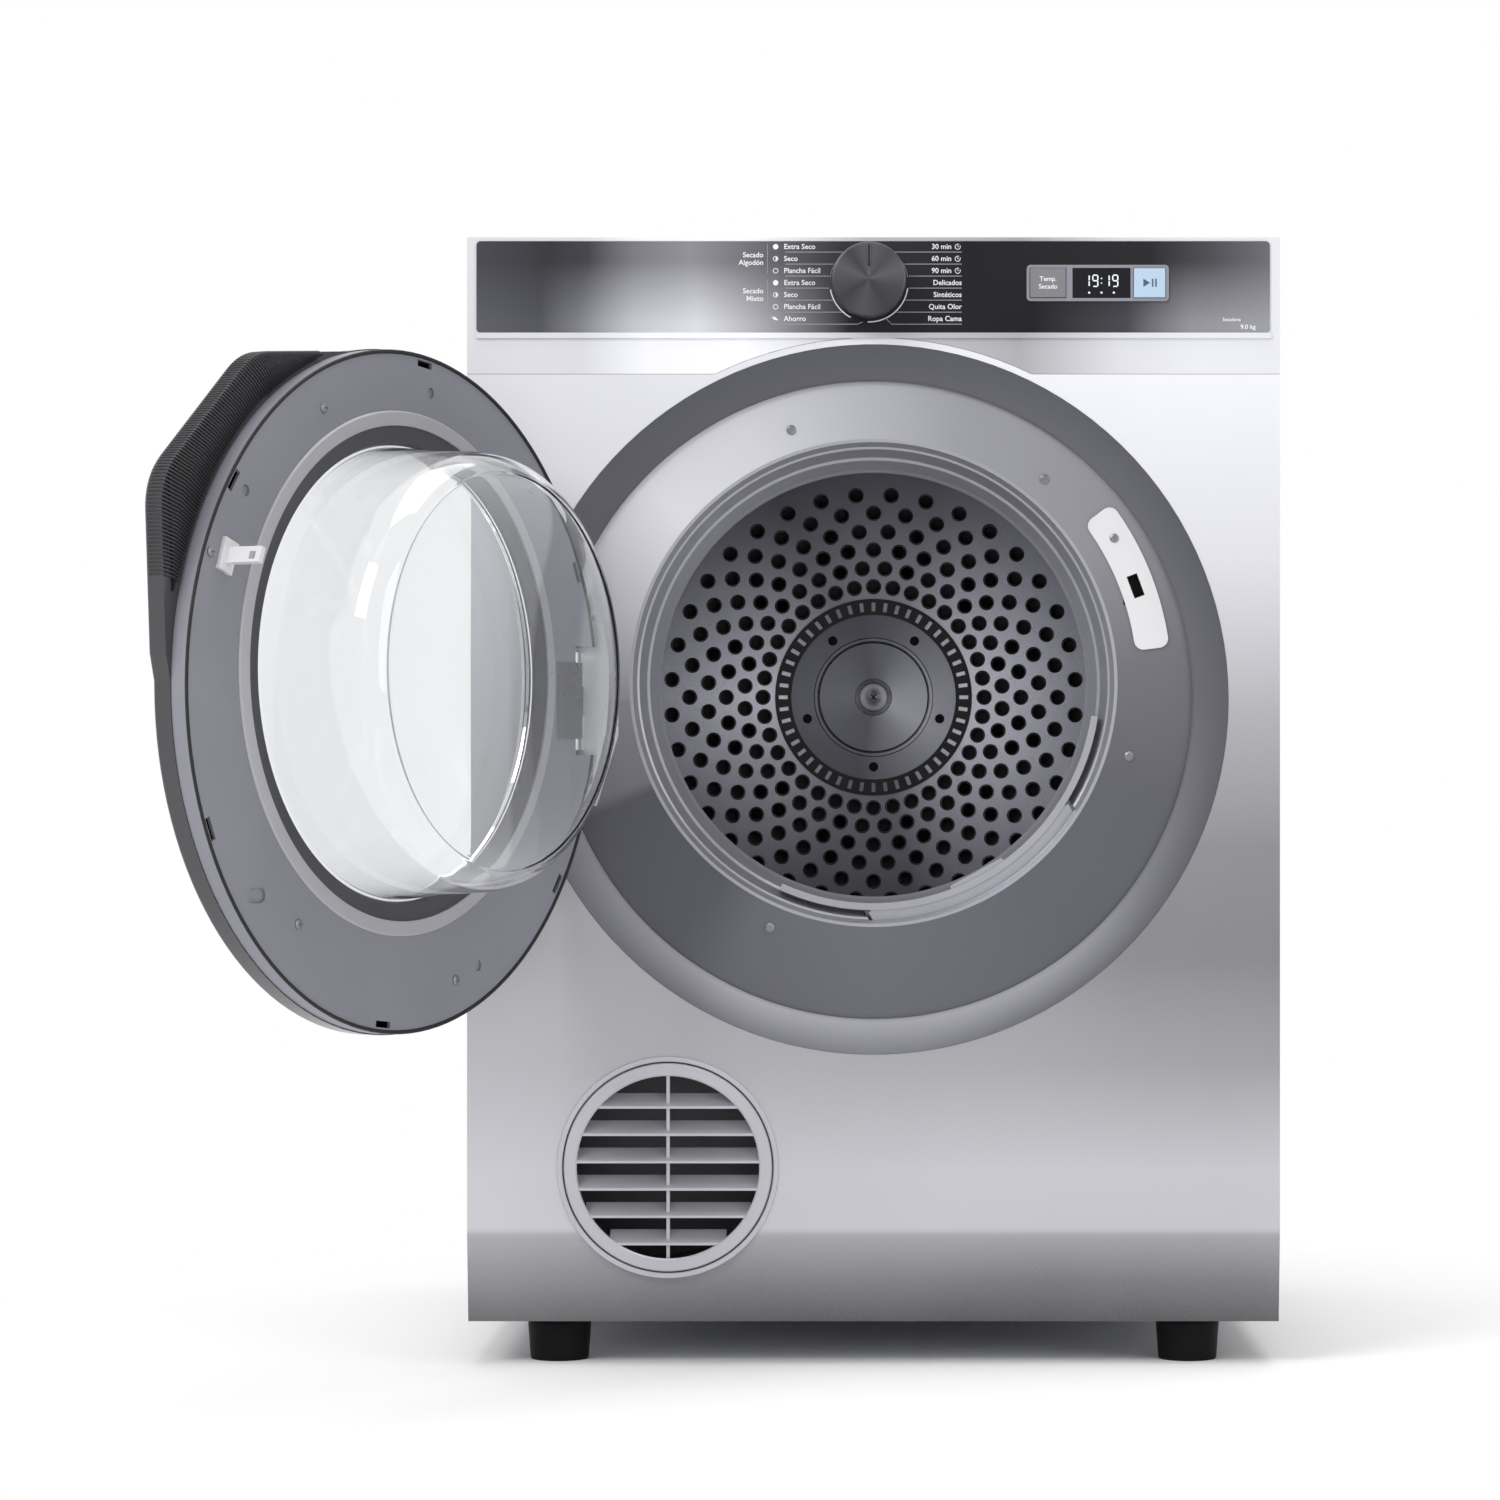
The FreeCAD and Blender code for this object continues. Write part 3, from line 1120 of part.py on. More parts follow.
problems = []
for obj in doc.Objects:
    if "Invalid" in obj.State or "Error" in obj.State:
        problems.append(obj.Label + " " + str(obj.State))
for obj in parts:
    if obj.Shape.isNull() or not obj.Shape.isValid():
        problems.append(obj.Label + " has no valid shape")
if problems:
    raise RuntimeError("; ".join(problems))

os.makedirs("parts", exist_ok=True)
for obj in parts:
    obj.Shape.exportStep("parts/" + obj.Label + ".step")
print(len(parts), "parts written")
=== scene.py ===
import json
import math

import bmesh
import bpy
from mathutils import Matrix, Vector


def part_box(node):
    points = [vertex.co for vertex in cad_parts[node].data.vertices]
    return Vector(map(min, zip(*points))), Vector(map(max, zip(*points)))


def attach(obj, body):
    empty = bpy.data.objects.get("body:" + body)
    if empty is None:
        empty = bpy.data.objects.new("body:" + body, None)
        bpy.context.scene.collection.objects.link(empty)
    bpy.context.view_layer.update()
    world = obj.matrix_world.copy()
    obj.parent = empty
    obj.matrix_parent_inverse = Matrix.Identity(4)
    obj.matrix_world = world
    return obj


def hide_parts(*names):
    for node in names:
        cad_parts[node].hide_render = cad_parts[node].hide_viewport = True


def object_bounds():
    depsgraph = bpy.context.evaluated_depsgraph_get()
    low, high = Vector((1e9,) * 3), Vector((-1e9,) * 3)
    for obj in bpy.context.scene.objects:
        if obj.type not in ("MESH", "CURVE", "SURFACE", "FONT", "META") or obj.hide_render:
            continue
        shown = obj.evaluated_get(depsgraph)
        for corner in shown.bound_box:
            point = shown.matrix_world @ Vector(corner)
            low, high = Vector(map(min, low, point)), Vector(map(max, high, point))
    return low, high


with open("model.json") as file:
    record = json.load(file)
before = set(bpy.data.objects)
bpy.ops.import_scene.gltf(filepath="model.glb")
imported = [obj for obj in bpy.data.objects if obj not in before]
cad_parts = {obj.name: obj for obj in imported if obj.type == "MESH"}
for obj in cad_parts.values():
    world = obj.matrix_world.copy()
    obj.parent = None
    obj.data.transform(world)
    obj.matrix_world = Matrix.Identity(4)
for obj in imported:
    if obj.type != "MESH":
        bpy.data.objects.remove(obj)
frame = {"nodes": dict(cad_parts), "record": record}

cad_box = [list(v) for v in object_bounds()]
MM = 0.001


# ------------------------------------------------------------- node helpers

class Paint:
    """Builds one node material round a Principled shader."""

    def __init__(self, name, rough=0.5, metal=0.0, coat=0.0, ior=1.45):
        self.mat = bpy.data.materials.new(name)
        self.mat.use_nodes = True
        self.tree = self.mat.node_tree
        self.shader = self.tree.nodes["Principled BSDF"]
        self.shader.inputs["Roughness"].default_value = rough
        self.shader.inputs["Metallic"].default_value = metal
        self.shader.inputs["Coat Weight"].default_value = coat
        self.shader.inputs["IOR"].default_value = ior
        self.place = self.node("ShaderNodeTexCoord").outputs["Object"]

    def node(self, kind, **settings):
        n = self.tree.nodes.new(kind)
        for key, value in settings.items():
            setattr(n, key, value)
        return n

    def link(self, a, b):
        self.tree.links.new(a, b)

    def centred(self, centre, scale=(1, 1, 1)):
        m = self.node("ShaderNodeMapping")
        m.inputs["Location"].default_value = [-centre[i] * scale[i] for i in range(3)]
        m.inputs["Scale"].default_value = scale
        self.link(self.place, m.inputs["Vector"])
        return m.outputs["Vector"]

    def noise(self, scale, detail=3.0, where=None, rough=0.5):
        n = self.node("ShaderNodeTexNoise")
        n.inputs["Scale"].default_value = scale
        n.inputs["Detail"].default_value = detail
        n.inputs["Roughness"].default_value = rough
        self.link(where or self.place, n.inputs["Vector"])
        return n.outputs["Fac"]

    def ramp(self, value, stops):
        r = self.node("ShaderNodeValToRGB")
        els = r.color_ramp.elements
        while len(els) < len(stops):
            els.new(0.5)
        for el, (pos, colour) in zip(els, stops):
            el.position = pos
            el.color = (*colour, 1)
        self.link(value, r.inputs["Fac"])
        return r.outputs["Color"]

    def spread(self, value, low, high, start=0.0, end=1.0):
        m = self.node("ShaderNodeMapRange")
        m.inputs["From Min"].default_value = start
        m.inputs["From Max"].default_value = end
        m.inputs["To Min"].default_value = low
        m.inputs["To Max"].default_value = high
        self.link(value, m.inputs["Value"])
        return m.outputs["Result"]

    def maths(self, op, a, b=None):
        m = self.node("ShaderNodeMath", operation=op)
        for i, v in enumerate((a, b)):
            if v is None:
                continue
            if isinstance(v, (int, float)):
                m.inputs[i].default_value = v
            else:
                self.link(v, m.inputs[i])
        return m.outputs[0]

    def axes(self, vector):
        s = self.node("ShaderNodeSeparateXYZ")
        self.link(vector, s.inputs[0])
        return s.outputs

    def mix(self, fac, a, b, mode="MIX"):
        m = self.node("ShaderNodeMix", data_type="RGBA", blend_type=mode)
        if isinstance(fac, (int, float)):
            m.inputs[0].default_value = fac
        else:
            self.link(fac, m.inputs[0])
        for i, v in ((6, a), (7, b)):
            if isinstance(v, tuple):
                m.inputs[i].default_value = (*v, 1)
            else:
                self.link(v, m.inputs[i])
        return m.outputs[2]

    def around(self, centre):
        """Turn angle about the depth axis through a centre: 0 to 1 from the left, over the bottom."""
        pos = self.axes(self.centred(centre))
        return self.spread(self.maths("ARCTAN2", pos[2], pos[0]), 0, 1, -math.pi, math.pi), pos

    def colour(self, socket):
        self.link(socket, self.shader.inputs["Base Color"])
        return self

    def shine(self, socket):
        self.link(socket, self.shader.inputs["Roughness"])
        return self

    def bump(self, value, strength, depth=0.0004):
        b = self.node("ShaderNodeBump")
        b.inputs["Strength"].default_value = strength
        b.inputs["Distance"].default_value = depth
        self.link(value, b.inputs["Height"])
        self.link(b.outputs["Normal"], self.shader.inputs["Normal"])
        return self


def shade(c, k):
    return tuple(min(1.0, v * k) for v in c)


def moulded(name, colour, rough=0.45, grain=1400, depth=0.12, coat=0.0, metal=0.0, wear=0.06, glint=0.5):
    """Moulded plastic or painted sheet: slight tone drift, fine grain, uneven gloss."""
    p = Paint(name, rough, metal, coat)
    p.shader.inputs["Specular IOR Level"].default_value = glint
    drift = p.noise(7, 2)
    p.colour(p.ramp(drift, [(0.3, shade(colour, 1 - wear)), (0.7, shade(colour, 1 + wear))]))
    p.shine(p.spread(p.noise(45, 3), rough - 0.05, rough + 0.06))
    p.bump(p.noise(grain, 2), depth)
    return p.mat


# ---------------------------------------------------------------- finishes

def grey(v, blue=1.07):
    return (v, v, min(1.0, v * blue))


def silver_paint(name="silver_paint", sheen=None, metal=0.3):
    """Metallic lacquer: fine bright flakes over a tone that drifts at random, or, when a sheen function is given, over
    painted light and shade that change with height and width.
    """
    p = Paint(name, 0.38, metal, 0.0)
    p.shader.inputs["Specular IOR Level"].default_value = 0.35
    flakes = p.noise(2600, 2)
    base = sheen(p) if sheen else p.ramp(p.noise(4, 2), [(0.3, grey(0.50)), (0.7, grey(0.54))])
    base = p.mix(p.spread(p.noise(5, 2), 0.0, 0.05, 0.3, 0.7), base, (1.0, 1.0, 1.0))
    p.colour(p.mix(p.spread(flakes, 0, 0.10, 0.4, 0.75), base, (0.9, 0.9, 0.95)))
    p.shine(p.spread(p.noise(38, 3), 0.34, 0.44))
    p.bump(flakes, 0.05, 0.0002)
    return p.mat


def front_painted_shading(p):
    """Painted shading and reflection: pale at the top, a grey waist below the middle, a pale belt above the plinth
    crease, painted shade on the plinth below it.
    """
    pos = p.axes(p.place)
    up = p.spread(pos[2], 0, 1, 0.03, 0.73)
    right = p.ramp(up, [
        (0.00, grey(0.045)), (0.045, grey(0.14)), (0.093, grey(0.31)), (0.100, grey(0.48)), (0.16, grey(0.50)),
        (0.27, grey(0.30)), (0.38, grey(0.20)), (0.50, grey(0.22)), (0.64, grey(0.37)), (0.80, grey(0.66)),
        (1.00, grey(0.82)),
    ])
    left = p.ramp(up, [
        (0.00, grey(0.10)), (0.045, grey(0.24)), (0.093, grey(0.38)), (0.100, grey(0.56)), (0.16, grey(0.55)),
        (0.27, grey(0.44)), (0.40, grey(0.40)), (0.60, grey(0.52)), (0.80, grey(0.64)), (1.00, grey(0.66)),
    ])
    side = p.spread(pos[0], 0, 1, -0.27, 0.2)
    return p.mix(side, left, right)


def band_painted_shading(p):
    """Fascia band with painted reflection: even grey at the left, painted brighter beside the arch and to the right.
    """
    pos = p.axes(p.place)
    along = p.spread(pos[0], 0, 1, -0.297, 0.297)
    return p.ramp(along, [
        (0.0, grey(0.64)), (0.14, grey(0.64)), (0.22, grey(0.86)), (0.34, grey(0.90)), (0.5, grey(0.5)),
        (0.68, grey(0.36)), (0.80, grey(0.66)), (0.9, grey(0.75)), (1.0, grey(0.73)),
    ])


def zinc_sheet(name, colour, size):
    p = Paint(name, 0.42, 0.85)
    cell = p.node("ShaderNodeTexVoronoi")
    cell.inputs["Scale"].default_value = size
    p.link(p.place, cell.inputs["Vector"])
    tone = p.axes(cell.outputs["Color"])[0]
    p.colour(p.ramp(tone, [(0.0, shade(colour, 0.78)), (1.0, shade(colour, 1.15))]))
    p.shine(p.spread(tone, 0.32, 0.5))
    p.bump(p.noise(900, 3), 0.06)
    return p.mat


def drum_sheet(centre):
    """Speckled sheet with a painted fan-shaped sheen: light and dark sectors painted round the centre stand in for the
    reflections on a pressed disc.
    """
    p = Paint("drum_sheet", 0.3, 0.6)
    turn, pos = p.around(centre)
    fleck = p.noise(950, 4, rough=0.75)
    # painted reflection: pale and dark sectors by angle round the drum centre
    fan = p.ramp(turn, [
        (0.00, grey(0.84, 1.12)), (0.09, grey(0.46, 1.14)), (0.20, grey(0.20, 1.16)), (0.28, grey(0.18, 1.16)),
        (0.36, grey(0.50, 1.14)), (0.45, grey(0.82, 1.12)), (0.53, grey(0.86, 1.12)), (0.62, grey(0.62, 1.14)),
        (0.70, grey(0.33, 1.16)), (0.82, grey(0.24, 1.16)), (0.92, grey(0.54, 1.14)), (1.00, grey(0.84, 1.12)),
    ])
    p.colour(p.mix(p.spread(fleck, 0, 0.35, 0.54, 0.64), fan, (0.14, 0.14, 0.17)))
    p.shine(p.spread(fleck, 0.24, 0.42))
    p.bump(fleck, 0.12, 0.0002)
    return p.mat


def overlay_gloss(lo, hi):
    """Dark tinted panel with a painted pale sheen, a painted reflection, left of the knob and at the far right,
    stronger below.
    """
    p = Paint("overlay_gloss", 0.2, 0.0)
    p.shader.inputs["Specular IOR Level"].default_value = 0.18
    pos = p.axes(p.place)
    along = p.spread(pos[0], 0, 1, lo[0], hi[0])
    # painted reflection: pale sheen ramps along the panel, one upper and one lower
    upper = p.ramp(along, [
        (0.00, grey(0.055, 1.2)), (0.09, grey(0.032, 1.2)), (0.14, grey(0.045, 1.2)), (0.20, grey(0.17, 1.12)),
        (0.27, grey(0.24, 1.1)), (0.33, grey(0.16, 1.1)), (0.38, grey(0.10, 1.15)), (0.46, grey(0.038, 1.1)),
        (0.62, grey(0.012, 1.15)), (0.85, grey(0.018, 1.15)), (0.93, grey(0.065, 1.15)), (1.0, grey(0.13, 1.12)),
    ])
    lower = p.ramp(along, [
        (0.00, grey(0.10, 1.2)), (0.08, grey(0.075, 1.2)), (0.13, grey(0.19, 1.15)), (0.20, grey(0.50, 1.1)),
        (0.28, grey(0.64, 1.08)), (0.33, grey(0.46, 1.08)), (0.40, grey(0.20, 1.1)), (0.47, grey(0.016, 1.2)),
        (0.70, grey(0.010, 1.2)), (0.82, grey(0.055, 1.2)), (0.90, grey(0.25, 1.1)), (1.0, grey(0.30, 1.1)),
    ])
    p.colour(p.mix(p.spread(pos[2], 1, 0, lo[2] + 0.006, lo[2] + 0.052), upper, lower))
    p.shine(p.spread(p.noise(60, 2), 0.16, 0.24))
    p.bump(p.noise(1800, 2), 0.02, 0.0001)
    return p.mat


def spun_metal(name, centre, tones, metal=0.3, rough=0.33):
    """Spun face: a painted reflection, a fan of light and dark tones round its centre, with fine turned rings."""
    p = Paint(name, rough, metal)
    p.shader.inputs["Specular IOR Level"].default_value = 0.3
    turn, pos = p.around(centre)
    square = p.maths("ADD", p.maths("MULTIPLY", pos[0], pos[0]), p.maths("MULTIPLY", pos[2], pos[2]))
    rings = p.maths("SINE", p.maths("MULTIPLY", p.maths("SQRT", square), 14000.0))
    p.colour(p.mix(p.spread(rings, 0.0, 0.06, -1, 1), p.ramp(turn, tones), (0.9, 0.9, 1.0)))
    p.shine(p.spread(rings, rough - 0.05, rough + 0.05, -1, 1))
    p.bump(rings, 0.12, 0.0001)
    return p.mat


def clear_plastic(name, tint, rough=0.0):
    p = Paint(name, rough, 0.0, 0.0, 1.46)
    p.shader.inputs["Transmission Weight"].default_value = 1.0
    p.colour(p.ramp(p.noise(6, 2), [(0.3, shade(tint, 0.985)), (0.7, tint)]))
    p.shine(p.spread(p.noise(30, 3), rough, rough + 0.006))
    p.bump(p.noise(5, 1), 0.02, 0.0004)
    return p.mat


def ring_painted_shading(centre):
    """Sloping funnel with painted shading: painted shade over the top, paler under the opening, a painted highlight at
    its inner edge below.
    """
    p = Paint("ring_painted_shading", 0.3, 0.1, 0.0)
    p.shader.inputs["Specular IOR Level"].default_value = 0.3
    turn, pos = p.around(centre)
    # painted shading by angle on the outer slope and at the inner edge
    outer = p.ramp(turn, [
        (0.00, grey(0.20, 1.15)), (0.10, grey(0.16, 1.15)), (0.17, grey(0.15, 1.15)), (0.25, grey(0.155, 1.15)),
        (0.35, grey(0.115, 1.15)), (0.45, grey(0.105, 1.15)), (0.60, grey(0.115, 1.2)), (0.75, grey(0.105, 1.2)),
        (0.88, grey(0.105, 1.2)), (1.00, grey(0.16, 1.15)),
    ])
    inner = p.ramp(turn, [
        (0.00, grey(0.17, 1.15)), (0.08, grey(0.24, 1.12)), (0.17, grey(0.34, 1.1)), (0.26, grey(0.29, 1.1)),
        (0.33, grey(0.30, 1.1)), (0.40, grey(0.20, 1.12)), (0.50, grey(0.14, 1.12)), (0.62, grey(0.14, 1.15)),
        (0.75, grey(0.12, 1.15)), (0.90, grey(0.11, 1.15)), (1.00, grey(0.13, 1.15)),
    ])
    square = p.maths("ADD", p.maths("MULTIPLY", pos[0], pos[0]), p.maths("MULTIPLY", pos[2], pos[2]))
    p.colour(p.mix(p.spread(p.maths("SQRT", square), 1, 0, 0.238, 0.258), outer, inner))
    p.shine(p.spread(p.noise(40, 2), 0.27, 0.35))
    p.bump(p.noise(1500, 2), 0.04, 0.0002)
    return p.mat


def plate_painted_shading(centre):
    """Recess plate with painted shading: pale above with a painted edge of light at both sides, painted shade below.
    """
    p = Paint("plate_painted_shading", 0.34, 0.1, 0.0)
    p.shader.inputs["Specular IOR Level"].default_value = 0.3
    turn, pos = p.around(centre)
    # painted shading by angle round the opening
    p.colour(p.ramp(turn, [
        (0.00, grey(0.24, 1.1)), (0.055, grey(0.18, 1.12)), (0.062, grey(0.095, 1.2)), (0.14, grey(0.10, 1.2)),
        (0.17, grey(0.135, 1.18)), (0.25, grey(0.14, 1.18)), (0.36, grey(0.11, 1.2)), (0.445, grey(0.108, 1.2)),
        (0.452, grey(0.11, 1.15)), (0.52, grey(0.15, 1.12)), (0.60, grey(0.25, 1.1)), (0.70, grey(0.31, 1.1)),
        (0.76, grey(0.44, 1.1)), (0.82, grey(0.60, 1.07)), (0.88, grey(0.68, 1.06)), (0.95, grey(0.5, 1.08)),
        (1.00, grey(0.27, 1.1)),
    ]))
    p.shine(p.spread(p.noise(50, 2), 0.31, 0.4))
    p.bump(p.noise(1500, 2), 0.04, 0.0002)
    return p.mat


def felt_cloth(name, colour, scale):
    p = Paint(name, 0.95)
    fibre = p.noise(scale, 5, rough=0.7)
    p.colour(p.ramp(fibre, [(0.3, shade(colour, 0.7)), (0.7, colour)]))
    p.shine(p.spread(fibre, 0.85, 1.0))
    p.bump(fibre, 0.5)
    return p.mat


def middle(node):
    lo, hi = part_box(node)
    return tuple((lo[i] + hi[i]) / 2 for i in range(3))


drum_mid = middle("drum_back")
ring_mid = middle("door_ring_trim")
knob_mid = middle("programme_knob")
over_lo, over_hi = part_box("control_overlay")

silver = silver_paint()
# the front panel silver carries painted shading and painted reflection
front_silver_painted_shading = silver_paint("front_silver_painted_shading", front_painted_shading)
# the fascia band silver carries a painted reflection
band_silver_painted_reflection = silver_paint("band_silver_painted_reflection", band_painted_shading)
zinc = zinc_sheet("zinc_sheet", (0.55, 0.56, 0.58), 90)
# painted shade: the galvanised rear bulkhead and duct are given near-black to stand in for the shade inside the
# cabinet
painted_shade_zinc = moulded("shaded_zinc", (0.035, 0.036, 0.04), 0.6, 600, 0.1)
drum_face = drum_sheet(drum_mid)
black = moulded("black_plastic", (0.018, 0.018, 0.021), 0.45)
soft_black = moulded("soft_black", (0.007, 0.007, 0.008), 0.62, 900, 0.2, glint=0.25)
foot_black = moulded("foot_black", (0.004, 0.004, 0.005), 0.6, 900, 0.15, glint=0.15)
charcoal = moulded("charcoal_gloss", (0.045, 0.045, 0.052), 0.24, 1600, 0.04, 0.4)
dark = moulded("dark_plastic", (0.075, 0.075, 0.085), 0.4)
mid_grey = moulded("mid_grey_plastic", (0.235, 0.235, 0.272), 0.4, 1500, 0.08)
vent_grey = moulded("vent_ring_silver", (0.50, 0.50, 0.54), 0.34, 1500, 0.06, 0.0, 0.3)
ring_grey = moulded("clamp_ring_grey", (0.40, 0.40, 0.43), 0.3, 1500, 0.05, 0.2)
screw_dark = moulded("screw_zinc", (0.26, 0.26, 0.29), 0.35, 1300, 0.1, 0.0, 0.7)
pale = moulded("pale_plastic", (0.62, 0.62, 0.64), 0.3, 1500, 0.05, 0.2)
white = moulded("white_plastic", (0.70, 0.70, 0.715), 0.32, 1300, 0.05, 0.2)
collar_grey = moulded("collar_enamel", (0.36, 0.36, 0.40), 0.3, 1500, 0.04, 0.3, 0.35)
sky = moulded("pale_blue_key", (0.42, 0.555, 0.70), 0.3, 1500, 0.04, 0.2)
key_grey = moulded("key_grey", (0.19, 0.19, 0.205), 0.35)
green = moulded("board_lacquer", (0.03, 0.16, 0.07), 0.35, 400, 0.2)
cast = moulded("cast_metal", (0.45, 0.45, 0.47), 0.45, 500, 0.25, 0.0, 0.8)
steel = moulded("bright_steel", (0.55, 0.55, 0.57), 0.28, 1200, 0.08, 0.0, 0.9)
# painted shade: the steel lips round the drum holes are given near-black so the holes read dark
hole_rim_shade = moulded("hole_rim_steel", (0.045, 0.046, 0.055), 0.25, 1200, 0.05, 0.3, 0.3)
wire = moulded("oxidised_wire", (0.20, 0.15, 0.12), 0.55, 700, 0.3, 0.0, 0.6)
rib_black = moulded("rib_black", (0.030, 0.030, 0.034), 0.4, 900, 0.12)
ink = moulded("white_ink", (0.80, 0.80, 0.82), 0.5, 2500, 0.05)
faint_ink = moulded("grey_ink", (0.30, 0.30, 0.33), 0.5, 2500, 0.05)
lit_ink = moulded("display_segments", (0.86, 0.89, 0.95), 0.4, 2500, 0.02)
dark_ink = moulded("dark_ink", (0.06, 0.09, 0.14), 0.5, 2500, 0.05)
screen = moulded("display_glass", (0.009, 0.009, 0.013), 0.16, 900, 0.01, glint=0.2)
rubber = moulded("rubber_black", (0.015, 0.015, 0.016), 0.7, 800, 0.3)
overlay = overlay_gloss(over_lo, over_hi)
# painted reflection: light and dark sectors round the knob, hub and cap centres
knob_face = spun_metal("spun_knob", knob_mid, [
    (0.00, grey(0.045, 1.1)), (0.10, grey(0.016, 1.2)), (0.22, grey(0.05, 1.1)), (0.34, grey(0.014, 1.2)),
    (0.45, grey(0.03, 1.15)), (0.55, grey(0.075, 1.12)), (0.64, grey(0.035, 1.15)), (0.75, grey(0.075, 1.1)),
    (0.85, grey(0.02, 1.2)), (0.93, grey(0.07, 1.1)), (1.00, grey(0.045, 1.1)),
])
hub_face = spun_metal("spun_hub", drum_mid, [
    (0.00, grey(0.20, 1.2)), (0.12, grey(0.14, 1.2)), (0.22, grey(0.12, 1.2)), (0.33, grey(0.30, 1.15)),
    (0.42, grey(0.52, 1.12)), (0.52, grey(0.46, 1.12)), (0.60, grey(0.34, 1.15)), (0.70, grey(0.18, 1.2)),
    (0.78, grey(0.12, 1.2)), (0.88, grey(0.16, 1.2)), (1.00, grey(0.20, 1.2)),
], 0.55, 0.3)
cap_face = spun_metal("spun_cap", drum_mid, [
    (0.00, grey(0.50, 1.12)), (0.25, grey(0.30, 1.15)), (0.50, grey(0.62, 1.1)), (0.75, grey(0.34, 1.15)),
    (1.00, grey(0.50, 1.12)),
], 0.45, 0.35)
bowl_clear = clear_plastic("bowl_clear", (0.955, 0.962, 0.968))
glass_clear = clear_plastic("window_clear", (0.97, 0.98, 0.985))
ring_shading_paint = ring_painted_shading(ring_mid)
plate_shading_paint = plate_painted_shading(ring_mid)
felt = felt_cloth("seal_felt", (0.60, 0.57, 0.50), 900)
gauze = felt_cloth("filter_gauze", (0.55, 0.57, 0.58), 2200)

FINISH = {
    "front_panel": front_silver_painted_shading, "side_panel_left": silver, "side_panel_right": silver, "top_cover": silver,
    "control_fascia": band_silver_painted_reflection, "vent_insert": vent_grey, "vent_trim": vent_grey, "rear_panel": zinc,
    "base_pan": zinc, "feet": foot_black, "control_overlay": overlay, "button_bezel": mid_grey, "display_window": screen,
    "control_board": green, "selector_switch": black, "door_ring_trim": ring_shading_paint,
    "opening_collar": collar_grey, "door_frame_plate": plate_shading_paint, "front_bulkhead": zinc,
    "filter_duct": dark, "drum_front_bearing": felt, "latch_plate": white, "latch_housing": black,
    "hinge_bracket": steel, "rear_bulkhead": painted_shade_zinc, "rear_duct": painted_shade_zinc, "heater_element": wire,
    "drive_belt": rubber, "drive_motor": cast, "motor_bracket": zinc, "blower_housing": dark,
    "cabinet_screws": screw_dark, "terminal_block": black, "door_front_shell": charcoal,
    "door_handle_grip": soft_black, "door_inner_plate": mid_grey, "door_edge_bead": rubber,
    "door_front_glass": glass_clear, "door_trim_ring": pale, "bowl_retainer": ring_grey,
    "bowl_clamp_ring": dark, "door_bowl": bowl_clear, "door_strike": white, "hinge_leaf": steel,
    "door_screws": screw_dark, "programme_knob": knob_face, "temp_button": key_grey, "start_button": sky,
    "filter_frame": collar_grey, "filter_mesh": gauze, "drum_shell": drum_face, "drum_back": drum_face,
    "drum_hub": hub_face, "hub_grille": black, "drum_lifters": mid_grey, "drum_shaft": cap_face,
    "motor_shaft": steel, "blower_wheel": dark, "idler_arm": zinc, "idler_wheel": dark,
}
for node, obj in frame["nodes"].items():
    obj.data.materials.clear()
    obj.data.materials.append(FINISH[node])


# ------------------------------------------------------------ piece helpers

def piece(name, mesh, material, body, smooth=False):
    """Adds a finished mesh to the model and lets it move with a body."""
    mesh.materials.clear()
    mesh.materials.append(material)
    if smooth:
        mesh.polygons.foreach_set("use_smooth", [True] * len(mesh.polygons))
    obj = bpy.data.objects.new(name, mesh)
    bpy.context.scene.collection.objects.link(obj)
    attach(obj, body)
    return obj


def mesh_of(name, verts, faces):
    m = bpy.data.meshes.new(name)
    m.from_pydata([tuple(v) for v in verts], [], faces)
    m.update()
    return m


def merge(name, meshes):
    bm = bmesh.new()
    for m in meshes:
        bm.from_mesh(m)
    out = bpy.data.meshes.new(name)
    bm.to_mesh(out)
    bm.free()
    return out


def lettering(words, x, z, y, height, align="LEFT", bold=0.0):
    """One line of print lying on the face at depth y, facing forward."""
    curve = bpy.data.curves.new("print", "FONT")
    curve.body = words
    curve.size = height
    curve.align_x = align
    curve.align_y = "CENTER"
    curve.offset = bold
    curve.extrude = 0.00004
    curve.resolution_u = 3
    obj = bpy.data.objects.new("print", curve)
    bpy.context.scene.collection.objects.link(obj)
    bpy.context.view_layer.update()
    mesh = bpy.data.meshes.new_from_object(obj.evaluated_get(bpy.context.evaluated_depsgraph_get()))
    bpy.data.objects.remove(obj)
    mesh.transform(Matrix.Translation((x, y, z)) @ Matrix.Rotation(math.pi / 2, 4, "X"))
    return mesh


def stroke(points, width, y, thick=0.00008, closed=False):
    """A printed line of constant width through points (x, z)."""
    pts = [Vector(p) for p in points]
    n = len(pts)
    left = []
    right = []
    for i, p in enumerate(pts):
        a = pts[(i - 1) % n] if closed or i else p
        b = pts[(i + 1) % n] if closed or i < n - 1 else p
        d = (b - a).normalized()
        side = Vector((-d.y, d.x)) * width / 2
        left.append(p + side)
        right.append(p - side)
    verts = []
    for depth in (y, y - thick):
        verts += [(p.x, depth, p.y) for p in left]
        verts += [(p.x, depth, p.y) for p in right]
    faces = []
    for i in range(n if closed else n - 1):
        j = (i + 1) % n
        front = 2 * n
        faces.append((front + i, front + n + i, front + n + j, front + j))
        faces.append((i, front + i, front + j, j))
        faces.append((n + i, n + j, front + n + j, front + n + i))
    return mesh_of("stroke", verts, faces)


def arc(cx, cz, r, a0, a1, steps=40):
    out = []
    for i in range(steps + 1):
        a = math.radians(a0 + (a1 - a0) * i / steps)
        out.append((cx + r * math.cos(a), cz + r * math.sin(a)))
    return out


